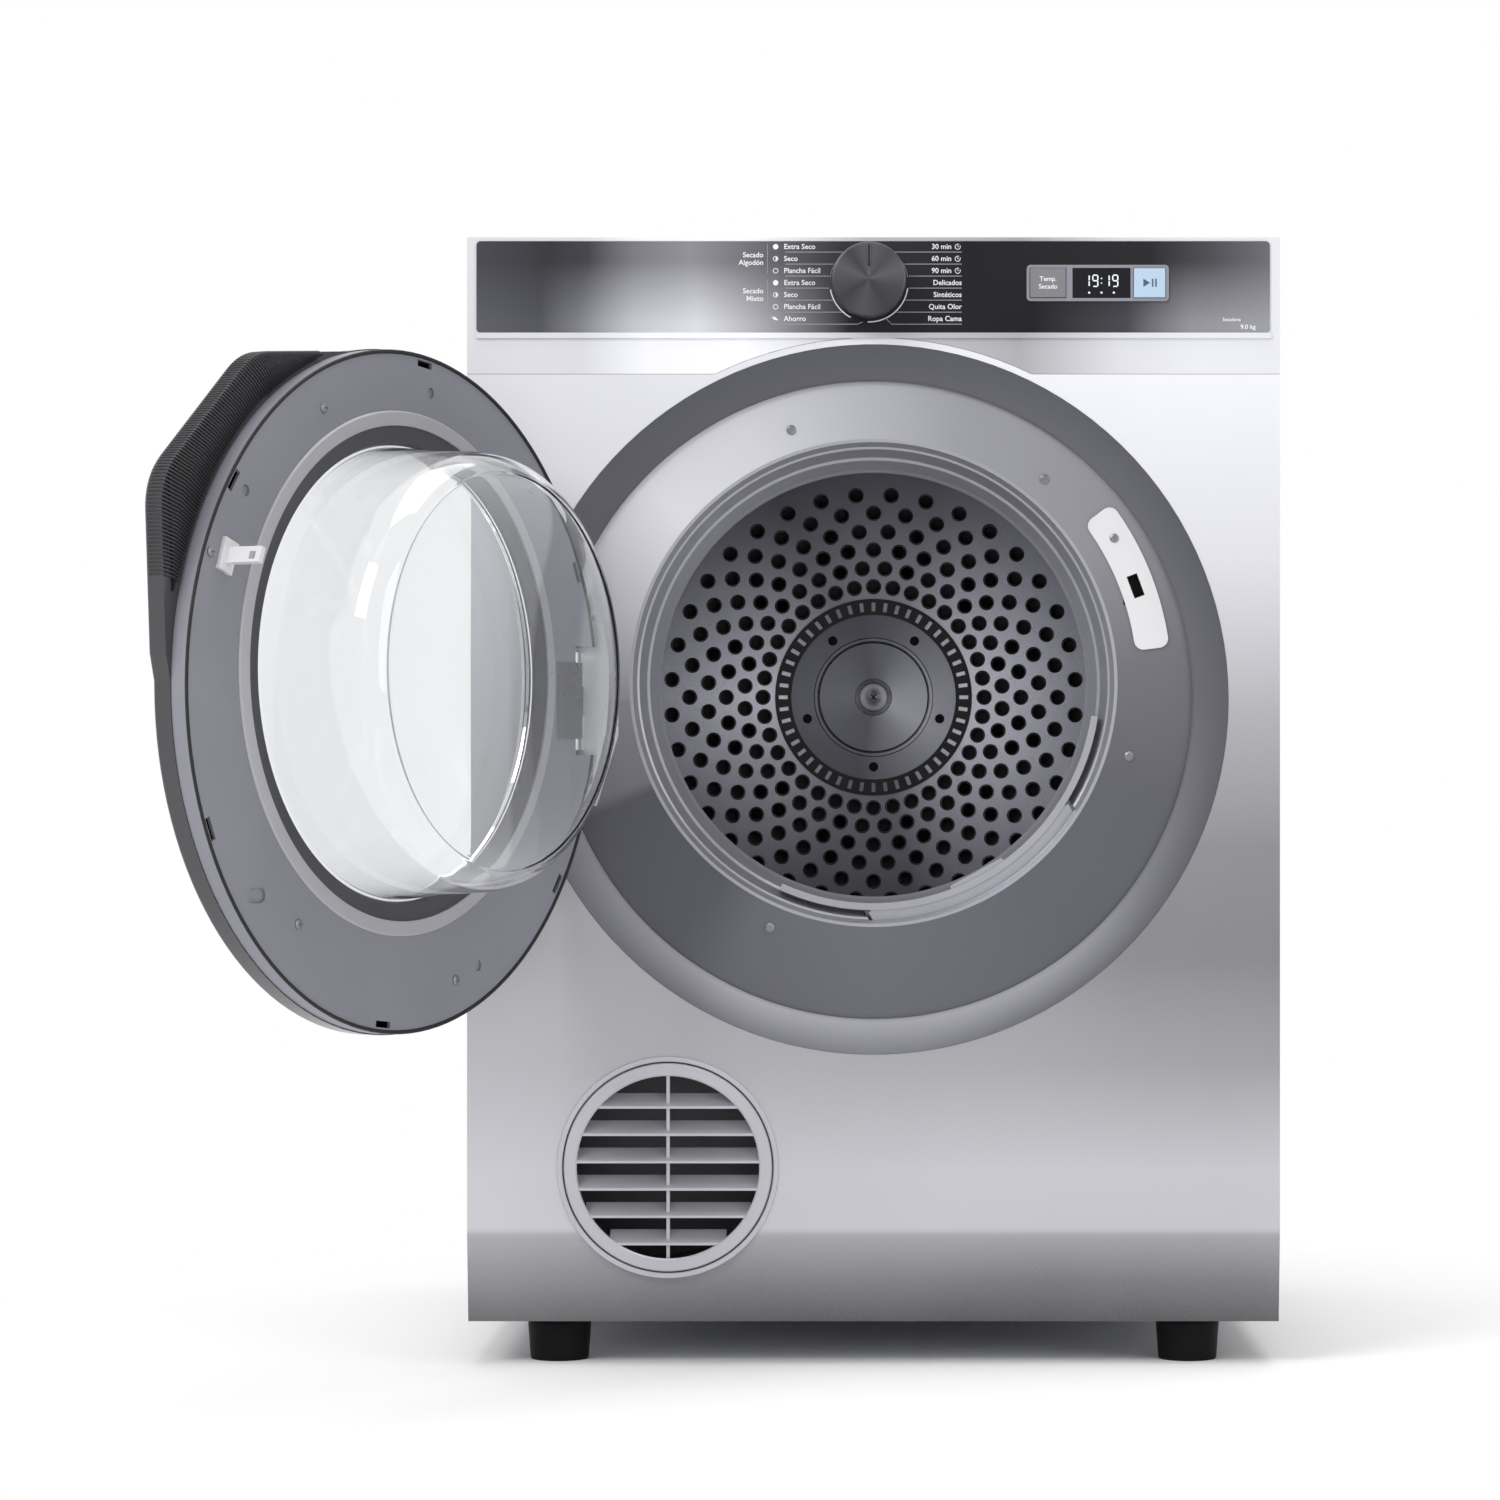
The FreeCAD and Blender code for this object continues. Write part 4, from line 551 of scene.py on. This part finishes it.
def dot(cx, cz, r, y, thick=0.00008, steps=20):
    verts = [(cx, y - thick, cz)]
    verts += [(x, y - thick, z) for x, z in arc(cx, cz, r, 0, 360, steps)[:-1]]
    faces = [(0, 1 + (i + 1) % steps, 1 + i) for i in range(steps)]
    return mesh_of("dot", verts, faces)


def flat(points, y):
    return mesh_of("flat", [(x, y, z) for x, z in points], [tuple(range(len(points)))])


# --------------------------------------------------- print on the overlay

face_y = over_lo[1] - 0.00004
knob_lo, knob_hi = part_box("programme_knob")
kx = (knob_lo[0] + knob_hi[0]) / 2
kz = (knob_lo[2] + knob_hi[2]) / 2
ROW = 8.79 * MM
TOP_ROW = 818.9 * MM
LINE_DROP = 3.9 * MM
RING = 28.6 * MM
LINE = 0.55 * MM
TEXT = 5.3 * MM
left_words = ["Extra Seco", "Seco", "Plancha Fácil", "Extra Seco", "Seco", "Plancha Fácil", "Ahorro"]
right_words = ["30 min", "60 min", "90 min", "Delicados", "Sintéticos", "Quita Olor", "Ropa Cama"]
left_x = -65.6 * MM
icon_x = -71.6 * MM
right_x = 64.6 * MM
prints = []
faint = []
for k in range(7):
    z = TOP_ROW - ROW * k
    bar = z - LINE_DROP
    reach = RING + 0.8 * MM
    off = abs(bar - kz)
    inner = math.sqrt(max(reach * reach - off * off, 0.0)) if off < reach else 0.0
    prints.append(lettering(left_words[k], left_x, z, face_y, TEXT, "LEFT", 0.00006))
    clock = 7.5 * MM if k < 3 else 0.0
    prints.append(lettering(right_words[k], right_x - clock, z, face_y, TEXT, "RIGHT", 0.00006))
    if k < 6:
        faint.append(stroke([(left_x + 1 * MM, bar), (kx - inner, bar)], LINE, face_y))
        faint.append(stroke([(kx + inner, bar), (right_x, bar)], LINE, face_y))
    if k < 3:
        ring = arc(right_x - 3.0 * MM, z, 1.9 * MM, 60, 390, 18)
        prints.append(stroke(ring, 0.45 * MM, face_y))
        prints.append(stroke([(right_x - 3.0 * MM, z + 1.1 * MM), (right_x - 3.0 * MM, z), (right_x - 2.2 * MM, z)],
                             0.4 * MM, face_y))
    if k < 6:
        kind = k % 3
        if kind == 0:
            prints.append(dot(icon_x, z, 2.0 * MM, face_y))
        else:
            prints.append(stroke(arc(icon_x, z, 1.7 * MM, 0, 360, 22)[:-1], 0.5 * MM, face_y, closed=True))
        if kind == 1:
            prints.append(flat(list(reversed([(icon_x, z - 1.7 * MM)] + arc(icon_x, z, 1.6 * MM, -90, 90, 12))),
                               face_y - 0.00008))
    else:
        leaf = [(icon_x - 3 * MM, z + 1.2 * MM), (icon_x - 0.5 * MM, z + 1.6 * MM), (icon_x + 2.2 * MM, z - 1.2 * MM),
                (icon_x - 0.8 * MM, z - 0.9 * MM)]
        prints.append(flat(list(reversed(leaf)), face_y - 0.00008))
last = TOP_ROW - ROW * 6 - LINE_DROP
faint.append(stroke([(icon_x - 4 * MM, last), (kx - 8.5 * MM, last), (kx - 4.5 * MM, kz - RING)], LINE, face_y))
faint.append(stroke([(right_x, last), (kx + 16.5 * MM, last), (kx + 12.0 * MM, kz - RING + 3.0 * MM)], LINE, face_y))
prints.append(stroke(arc(kx, kz, RING, 190, 242, 24), 0.8 * MM, face_y))
prints.append(stroke(arc(kx, kz, RING, -92, -8, 36), 0.8 * MM, face_y))
faint.append(stroke(arc(kx, kz, RING, 8, 172, 60), 0.35 * MM, face_y))
bracket_x = -77.6 * MM
faint.append(stroke([(bracket_x, TOP_ROW + 2 * MM), (bracket_x, TOP_ROW - ROW * 2 - 2 * MM)], 0.4 * MM, face_y))
faint.append(stroke([(bracket_x, TOP_ROW - ROW * 3 + 2 * MM), (bracket_x, TOP_ROW - ROW * 5 - 2 * MM)], 0.4 * MM, face_y))
for words, k in ((("Secado", "Algodón"), 1), (("Secado", "Mixto"), 4)):
    z = TOP_ROW - ROW * k
    for i, word in enumerate(words):
        prints.append(lettering(word, -80.5 * MM, z + (2.7 - 5.6 * i) * MM, face_y, TEXT, "RIGHT", 0.00008))
prints.append(lettering("Secadora", 262 * MM, over_lo[2] + 9.6 * MM, face_y, 3.6 * MM, "CENTER", 0.00004))
prints.append(lettering("9.0 kg", 274 * MM, over_lo[2] + 4.2 * MM, face_y, 4.6 * MM, "CENTER", 0.00006))
piece("panel_print", merge("panel_print", prints), ink, "cabinet")
piece("panel_lines", merge("panel_lines", faint), faint_ink, "cabinet")

# ------------------------------------------------- display and key marks

pane_lo, pane_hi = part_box("display_window")
pane_y = pane_lo[1] - 0.00004
SEGMENTS = {"1": "bc", "9": "abcdfg"}


def digit(figure, x, z, w, h, width, y):
    """One seven-segment figure, its lower left corner at (x, z)."""
    ends = {
        "a": ((0, 1), (1, 1)), "b": ((1, 1), (1, 0.5)), "c": ((1, 0.5), (1, 0)), "d": ((0, 0), (1, 0)),
        "e": ((0, 0), (0, 0.5)), "f": ((0, 0.5), (0, 1)), "g": ((0, 0.5), (1, 0.5)),
    }
    out = []
    for s in SEGMENTS[figure]:
        (ax, az), (bx, bz) = ends[s]
        a = Vector((x + ax * w, z + az * h))
        b = Vector((x + bx * w, z + bz * h))
        d = (b - a).normalized() * width * 0.35
        out.append(stroke([a + d, b - d], width, y))
    return out


fig_w = 3.6 * MM
fig_h = 8.2 * MM
pane_mid = (pane_lo[0] + pane_hi[0]) / 2
fig_z = pane_lo[2] + 8.6 * MM
marks = []
for i, figure in enumerate("1919"):
    x = pane_mid - 12.6 * MM + i * 6.3 * MM + (2.0 * MM if i > 1 else 0)
    marks += digit(figure, x, fig_z, fig_w, fig_h, 0.9 * MM, pane_y)
for dz in (2.4, 5.8):
    marks.append(dot(pane_mid + 0.0 * MM, fig_z + dz * MM, 0.5 * MM, pane_y))
for i, dx in enumerate((-9, 0, 9)):
    cx = pane_mid + dx * MM
    cz = pane_lo[2] + 4.0 * MM
    marks.append(dot(cx, cz, 0.8 * MM, pane_y))
piece("display_figures", merge("display_figures", marks), lit_ink, "cabinet")

start_lo, start_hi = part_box("start_button")
sy = start_lo[1] - 0.00004
sx = (start_lo[0] + start_hi[0]) / 2
sz = (start_lo[2] + start_hi[2]) / 2
tri = [(sx - 4.6 * MM, sz - 3 * MM), (sx - 4.6 * MM, sz + 3 * MM), (sx + 0.2 * MM, sz)]
go = [flat(tri, sy - 0.00008)]
for dx in (2.2, 4.6):
    go.append(stroke([(sx + dx * MM, sz - 2.9 * MM), (sx + dx * MM, sz + 2.9 * MM)], 1.1 * MM, sy))
piece("start_mark", merge("start_mark", go), dark_ink, "start_button")

temp_lo, temp_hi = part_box("temp_button")
ty = temp_lo[1] - 0.00004
tx = (temp_lo[0] + temp_hi[0]) / 2
tz = (temp_lo[2] + temp_hi[2]) / 2
piece("temp_mark", merge("temp_mark", [
    lettering("Temp.", tx, tz + 2.8 * MM, ty, 4.8 * MM, "CENTER", 0.00006),
    lettering("Secado", tx, tz - 2.8 * MM, ty, 4.8 * MM, "CENTER", 0.00006),
]), ink, "temp_button")

# ------------------------------------------------------ repeated shapes


def group_tree(name, sizes):
    """An empty Geometry Nodes tree with named number inputs."""
    tree = bpy.data.node_groups.new(name, "GeometryNodeTree")
    tree.interface.new_socket("Geometry", in_out="OUTPUT", socket_type="NodeSocketGeometry")
    for key, value in sizes.items():
        kind = "NodeSocketInt" if isinstance(value, int) else "NodeSocketFloat"
        s = tree.interface.new_socket(key, in_out="INPUT", socket_type=kind)
        s.default_value = value
    return tree, tree.nodes.new("NodeGroupInput").outputs


def add(tree, kind, **settings):
    n = tree.nodes.new(kind)
    for key, value in settings.items():
        setattr(n, key, value)
    return n


def tree_maths(tree, op, a, b=0.0):
    m = add(tree, "ShaderNodeMath", operation=op)
    for i, v in enumerate((a, b)):
        if isinstance(v, (int, float)):
            m.inputs[i].default_value = v
        else:
            tree.links.new(v, m.inputs[i])
    return m.outputs[0]


def close_tree(tree, geometry, material):
    real = add(tree, "GeometryNodeRealizeInstances")
    paint = add(tree, "GeometryNodeSetMaterial")
    paint.inputs["Material"].default_value = material
    out = add(tree, "NodeGroupOutput")
    tree.links.new(geometry, real.inputs["Geometry"])
    tree.links.new(real.outputs["Geometry"], paint.inputs["Geometry"])
    tree.links.new(paint.outputs["Geometry"], out.inputs["Geometry"])


def grown(name, tree, values, place, material, body):
    """Runs a tree and keeps its result as a plain mesh, moved to its place."""
    holder = bpy.data.objects.new(name + "_holder", bpy.data.meshes.new(name + "_holder"))
    bpy.context.scene.collection.objects.link(holder)
    mod = holder.modifiers.new("shape", "NODES")
    mod.node_group = tree
    ids = {s.name: s.identifier for s in tree.interface.items_tree if getattr(s, "in_out", "") == "INPUT"}
    for key, value in values.items():
        mod[ids[key]] = value
    bpy.context.view_layer.update()
    mesh = bpy.data.meshes.new_from_object(holder.evaluated_get(bpy.context.evaluated_depsgraph_get()))
    holder.modifiers.clear()
    bpy.data.objects.remove(holder)
    mesh.transform(place)
    return piece(name, mesh, material, body, True)


def flared_rims():
    """Raised lips round the drum holes: one ring of lips per row, odd rows turned by half a step."""
    sizes = {"rows": 6, "around": 36, "first_row": 0.0922, "row_step": 0.0153, "lip_radius": 0.0056, "lip_thickness": 0.0009}
    tree, give = group_tree("flared_rims", sizes)
    total = tree_maths(tree, "MULTIPLY", give["rows"], give["around"])
    line = add(tree, "GeometryNodeMeshLine")
    tree.links.new(total, line.inputs["Count"])
    index = add(tree, "GeometryNodeInputIndex").outputs[0]
    row = tree_maths(tree, "FLOOR", tree_maths(tree, "DIVIDE", index, give["around"]))
    along = tree_maths(tree, "MODULO", index, give["around"])
    half = tree_maths(tree, "MULTIPLY", tree_maths(tree, "MODULO", row, 2.0), 0.5)
    turn = tree_maths(tree, "MULTIPLY", tree_maths(tree, "ADD", along, half), 2 * math.pi)
    turn = tree_maths(tree, "DIVIDE", turn, give["around"])
    far = tree_maths(tree, "ADD", give["first_row"], tree_maths(tree, "MULTIPLY", row, give["row_step"]))
    join = add(tree, "ShaderNodeCombineXYZ")
    tree.links.new(tree_maths(tree, "MULTIPLY", far, tree_maths(tree, "COSINE", turn)), join.inputs[0])
    tree.links.new(tree_maths(tree, "MULTIPLY", far, tree_maths(tree, "SINE", turn)), join.inputs[2])
    move = add(tree, "GeometryNodeSetPosition")
    tree.links.new(line.outputs["Mesh"], move.inputs["Geometry"])
    tree.links.new(join.outputs[0], move.inputs["Position"])
    hoop = add(tree, "GeometryNodeCurvePrimitiveCircle")
    hoop.inputs["Resolution"].default_value = 20
    tree.links.new(give["lip_radius"], hoop.inputs["Radius"])
    section = add(tree, "GeometryNodeCurvePrimitiveCircle")
    section.inputs["Resolution"].default_value = 6
    tree.links.new(give["lip_thickness"], section.inputs["Radius"])
    sweep = add(tree, "GeometryNodeCurveToMesh")
    tree.links.new(hoop.outputs["Curve"], sweep.inputs["Curve"])
    tree.links.new(section.outputs["Curve"], sweep.inputs["Profile Curve"])
    stand = add(tree, "GeometryNodeTransform")
    stand.inputs["Rotation"].default_value = (math.pi / 2, 0, 0)
    tree.links.new(sweep.outputs["Mesh"], stand.inputs["Geometry"])
    put = add(tree, "GeometryNodeInstanceOnPoints")
    tree.links.new(move.outputs["Geometry"], put.inputs["Points"])
    tree.links.new(stand.outputs["Geometry"], put.inputs["Instance"])
    close_tree(tree, put.outputs["Instances"], hole_rim_shade)
    return tree, sizes


drum_lo, drum_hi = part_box("drum_back")
tree, sizes = flared_rims()
grown("drum_hole_lips", tree, sizes, Matrix.Translation((drum_mid[0], drum_lo[1] - 0.0002, drum_mid[2])), hole_rim_shade,
      "drum")

# ------------------------------------------- hub fittings and knob pointer

hub_lo, hub_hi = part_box("drum_hub")
shaft_lo, shaft_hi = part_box("drum_shaft")
BOLT_RING = 58 * MM
hub_x = drum_mid[0]
hub_z = drum_mid[2]
hub_marks = [stroke(arc(hub_x, hub_z, 45.4 * MM, 0, 360, 72)[:-1], 1.0 * MM, hub_lo[1] - 0.00003, closed=True)]
for k in range(5):
    turn = math.radians(-90 + 72 * k)
    hub_marks.append(dot(hub_x + BOLT_RING * math.cos(turn), hub_z + BOLT_RING * math.sin(turn), 3.95 * MM,
                         drum_lo[1] - 0.0003))
piece("hub_marks", merge("hub_marks", hub_marks), soft_black, "drum")

# ------------------------------------------------------- grip ribs on door

hinge = [j for j in frame["record"]["behaviour"]["joints"] if j["name"] == "door_hinge"][0]
OPEN = -hinge["range_deg"][0]
HINGE = Vector((hinge["pos_m"][0], hinge["pos_m"][1], 0.0))
swing = (
    Matrix.Translation(HINGE) @ Matrix.Rotation(-math.radians(OPEN), 4, "Z") @ Matrix.Translation(-HINGE)
)


RIM = 238.2
CENTRE_Z = 487.7
ROUND = 46.0
CORNERS = [(0, 235), (150, 221), (245.5, 134), (240, 20)]


def outline():
    """The handle corner's rounded outline as closely spaced points, from its top to its lower end."""
    legs = []
    for a, b in zip(CORNERS, CORNERS[1:]):
        a = Vector(a)
        d = (Vector(b) - a).normalized()
        legs.append((a, d, Vector((-d.y, d.x))))
    track = [Vector(CORNERS[0])]
    for (a, d, up), (b, e, side) in zip(legs, legs[1:]):
        half = d.angle(e) / 2
        cut = ROUND * math.tan(half)
        hub = b - d * cut - up * ROUND
        for i in range(13):
            track.append(hub + (up * math.cos(2 * half * i / 12) + d * math.sin(2 * half * i / 12)) * ROUND)
    track.append(Vector(CORNERS[-1]))
    return track


def even_points(track, step):
    out = []
    left = 0.0
    for a, b in zip(track, track[1:]):
        d = b - a
        while left <= d.length:
            out.append(a + d.normalized() * left)
            left += step
        left -= d.length
    return out


def tube(points, r, sides=6):
    verts = []
    faces = []
    n = len(points)
    for i, p in enumerate(points):
        d = (points[min(i + 1, n - 1)] - points[max(i - 1, 0)]).normalized()
        u = d.orthogonal().normalized() if i == 0 else (u - d * u.dot(d)).normalized()
        v = d.cross(u)
        for s in range(sides):
            t = 2 * math.pi * s / sides
            verts.append(p + (u * math.cos(t) + v * math.sin(t)) * r)
    for i in range(n - 1):
        for s in range(sides):
            q = (s + 1) % sides
            faces.append((i * sides + s, i * sides + q, (i + 1) * sides + q, (i + 1) * sides + s))
    faces.append(tuple(reversed(range(sides))))
    faces.append(tuple(range((n - 1) * sides, n * sides)))
    return mesh_of("tube", verts, faces)


def grip_ribs():
    """Ribs that start at the door's rim, cross the handle corner's back and fold over its side."""
    out = []
    for edge in even_points(outline(), 2.55):
        turn = math.degrees(math.atan2(edge.y, edge.x))
        if not 16 < turn < 74:
            continue
        lean = math.radians(15 + 0.64 * (turn - 15))
        d = Vector((math.cos(lean), math.sin(lean)))
        b = edge.dot(d)
        inside = b * b - edge.length_squared + RIM * RIM
        if inside <= 0:
            continue
        reach = b - math.sqrt(inside)
        if reach < 3:
            continue
        start = edge - d * reach
        bend = (start + edge) / 2 + Vector((-d.y, d.x)) * reach * 0.05
        track = []
        for q, depth in ((start, -1.7), (bend, -1.7), (edge - d * 2.2, -1.7), (edge - d * 0.5, -2.3),
                         (edge, -3.8), (edge, -14.6)):
            track.append(Vector((q.x * MM, depth * MM, (CENTRE_Z + q.y) * MM)))
        out.append(tube(track, 0.75 * MM))
    return out


rib_mesh = merge("grip_ribs", grip_ribs())
rib_mesh.transform(swing)
for corner in rib_mesh.vertices:
    corner.co.y = max(corner.co.y, cad_box[0][1])
    corner.co.x = max(corner.co.x, cad_box[0][0])
piece("grip_ribs", rib_mesh, rib_black, "door", True)


def revolve(name, profile, centre_z, steps=128):
    """Turns a closed profile of (radius, depth) in mm about the depth axis; radius 0 makes a pole."""
    verts = []
    rows = []
    for r, y in profile:
        if r < 0.001:
            rows.append([len(verts)] * steps)
            verts.append((0, y * MM, centre_z * MM))
            continue
        row = []
        for i in range(steps):
            t = 2 * math.pi * i / steps
            row.append(len(verts))
            verts.append((r * math.cos(t) * MM, y * MM, (centre_z + r * math.sin(t)) * MM))
        rows.append(row)
    faces = []
    n = len(rows)
    for k in range(n):
        a = rows[k]
        b = rows[(k + 1) % n]
        for i in range(steps):
            j = (i + 1) % steps
            quad = []
            for v in (a[i], a[j], b[j], b[i]):
                if v not in quad:
                    quad.append(v)
            if len(quad) > 2:
                faces.append(quad)
    m = mesh_of(name, verts, faces)
    bm = bmesh.new()
    bm.from_mesh(m)
    bmesh.ops.recalc_face_normals(bm, faces=bm.faces)
    bm.to_mesh(m)
    bm.free()
    return m


def soft_line(points, sub=5):
    """A rounded run through points by Catmull-Rom curves."""
    pts = [Vector(p) for p in points]
    out = []
    for i in range(len(pts) - 1):
        a = pts[max(i - 1, 0)]
        b = pts[i]
        c = pts[i + 1]
        d = pts[min(i + 2, len(pts) - 1)]
        for k in range(sub):
            t = k / sub
            out.append(0.5 * ((2 * b) + (c - a) * t + (2 * a - 5 * b + 4 * c - d) * t * t + (3 * b - a - 3 * c + d) * t ** 3))
    out.append(pts[-1])
    return [(p.x, p.y) for p in out]


WINDOW_Z = 500.5
outer_wall = soft_line([(155.4, 4.2), (153.2, 24), (151.2, 48), (149.6, 72), (147.6, 82), (143.4, 89.6), (136.6, 94.2),
                        (127, 95.9), (80, 96), (0, 96)])
inner_wall = soft_line([(0, 93), (80, 93), (127, 92.9), (135.4, 91.3), (141.2, 87.3), (145.0, 80.6), (146.8, 71),
                        (148.4, 47), (150.6, 23), (153.0, 1.2)])
bowl = revolve("clear_bowl", [(171.8, 1.1), (171.8, 3.8), (157.6, 3.9)] + outer_wall + inner_wall, WINDOW_Z)
bowl.transform(swing)
bowl_obj = piece("clear_bowl", bowl, bowl_clear, "door", True)
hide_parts("door_bowl")

pane_front = soft_line([(0, -19), (60, -18.7), (110, -17.9), (150, -16.8), (175.9, -15.6)])
pane_back = soft_line([(175.9, -12.1), (150, -13.2), (110, -14.3), (60, -15.2), (0, -15.5)])
lens_mesh = revolve("clear_pane", pane_front + pane_back, WINDOW_Z)
lens_mesh.transform(swing)
pane_obj = piece("clear_pane", lens_mesh, glass_clear, "door", True)
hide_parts("door_front_glass")

cap_y = min(hub_lo[1], shaft_lo[1]) / MM
cap = revolve("hub_cap", [(0, cap_y - 0.1), (3.6, cap_y - 0.1), (4.2, cap_y - 0.7), (10.6, cap_y - 0.9), (11.9, cap_y - 0.6),
                          (12.5, cap_y + 0.1), (12.5, cap_y + 0.6), (0, cap_y + 0.6)], hub_z / MM, 64)
piece("hub_cap", cap, cap_face, "drum", True)
slots = [stroke(arc(hub_x, hub_z, 15.0 * MM, 0, 360, 48)[:-1], 0.9 * MM, hub_lo[1] - 0.00003, closed=True)]
for lean in (45, 135):
    d = Vector((math.cos(math.radians(lean)), math.sin(math.radians(lean)))) * 2.9 * MM
    slots.append(stroke([Vector((hub_x, hub_z)) - d, Vector((hub_x, hub_z)) + d], 1.2 * MM, (cap_y - 0.14) * MM))
piece("hub_cap_slots", merge("hub_cap_slots", slots), soft_black, "drum")

pointer = stroke([(kx, kz + 9 * MM), (kx, kz + 24.5 * MM)], 1.1 * MM, knob_lo[1] - 0.00003)
piece("knob_pointer", pointer, soft_black, "knob")

# ---------------------------------------------------------- stage and light

floor_mat = Paint("studio_floor", 0.85)
floor_mat.colour(floor_mat.ramp(floor_mat.noise(3, 2), [(0.3, (0.955, 0.955, 0.955)), (0.7, (0.965, 0.965, 0.965))]))
floor_mat.shader.inputs["Specular IOR Level"].default_value = 0.0
spot = floor_mat.axes(floor_mat.centred((0, 0.1, 0), (1.25, 1.0, 1)))
far = floor_mat.maths("SQRT", floor_mat.maths("ADD", floor_mat.maths("MULTIPLY", spot[0], spot[0]),
                                              floor_mat.maths("MULTIPLY", spot[1], spot[1])))
glow = floor_mat.node("ShaderNodeEmission")
blend = floor_mat.node("ShaderNodeMixShader")
out_node = [n for n in floor_mat.tree.nodes if n.type == "OUTPUT_MATERIAL"][0]
sight = floor_mat.node("ShaderNodeLightPath").outputs
shown = floor_mat.maths("MAXIMUM", sight["Is Camera Ray"], sight["Is Transmission Ray"])
shown = floor_mat.maths("MAXIMUM", shown, sight["Is Glossy Ray"])
floor_mat.link(floor_mat.maths("MULTIPLY", floor_mat.spread(far, 0, 1, 0.42, 0.95), shown), blend.inputs[0])
floor_mat.link(floor_mat.shader.outputs[0], blend.inputs[1])
floor_mat.link(glow.outputs[0], blend.inputs[2])
floor_mat.link(blend.outputs[0], out_node.inputs["Surface"])
floor = bpy.data.objects.new("studio_floor", mesh_of("studio_floor", [
    (-14, -9, 0), (14, -9, 0), (14, 22, 0), (-14, 22, 0)], [(0, 1, 2, 3)]))
bpy.context.scene.collection.objects.link(floor)
floor.data.materials.append(floor_mat.mat)

world = bpy.data.worlds.new("studio")
bpy.context.scene.world = world
world.use_nodes = True
nodes = world.node_tree.nodes
links = world.node_tree.links
back = nodes["Background"]
rays = nodes.new("ShaderNodeLightPath")
seen = nodes.new("ShaderNodeMath")
seen.operation = "MAXIMUM"
links.new(rays.outputs["Is Camera Ray"], seen.inputs[0])
links.new(rays.outputs["Is Transmission Ray"], seen.inputs[1])
both = nodes.new("ShaderNodeMath")
both.operation = "MAXIMUM"
links.new(seen.outputs[0], both.inputs[0])
glossy = nodes.new("ShaderNodeMath")
glossy.operation = "MULTIPLY"
glossy.inputs[1].default_value = 0.8
links.new(rays.outputs["Is Glossy Ray"], glossy.inputs[0])
links.new(glossy.outputs[0], both.inputs[1])
level = nodes.new("ShaderNodeMapRange")
level.inputs["To Min"].default_value = 0.55
level.inputs["To Max"].default_value = 1.0
links.new(both.outputs[0], level.inputs["Value"])
back.inputs["Color"].default_value = (1, 1, 1, 1)
links.new(level.outputs["Result"], back.inputs["Strength"])


def softbox(name, place, aim, wide, tall, power, colour=(1, 1, 1)):
    lamp = bpy.data.lights.new(name, "AREA")
    lamp.shape = "RECTANGLE"
    lamp.size = wide
    lamp.size_y = tall
    lamp.energy = power
    lamp.color = colour
    obj = bpy.data.objects.new(name, lamp)
    obj.location = place
    obj.rotation_euler = (Vector(aim) - Vector(place)).to_track_quat("-Z", "Y").to_euler()
    bpy.context.scene.collection.objects.link(obj)
    return obj


softbox("key_box", (-1.9, -2.4, 2.6), (0, 0, 0.5), 1.6, 1.6, 62)
softbox("top_box", (0.2, 0.2, 3.2), (0, 0.2, 0.4), 2.4, 2.4, 50)
softbox("fill_box", (2.4, -2.2, 1.2), (0, 0, 0.4), 1.6, 2.0, 16)

# ------------------------------------------------------------------ camera

DISTANCE = 3.26
EYE = 0.409
lens = bpy.data.cameras.new("camera")
lens.sensor_width = 36.0
lens.lens = 106.9
lens.shift_x = (750 - 873.5) / 1500
lens.shift_y = (807 - 750) / 1500
lens.clip_end = 60
camera = bpy.data.objects.new("camera", lens)
camera.location = (0, -DISTANCE, EYE)
camera.rotation_euler = (math.pi / 2, 0, 0)
bpy.context.scene.collection.objects.link(camera)
bpy.context.scene.camera = camera
bpy.context.scene.view_settings.view_transform = "Standard"
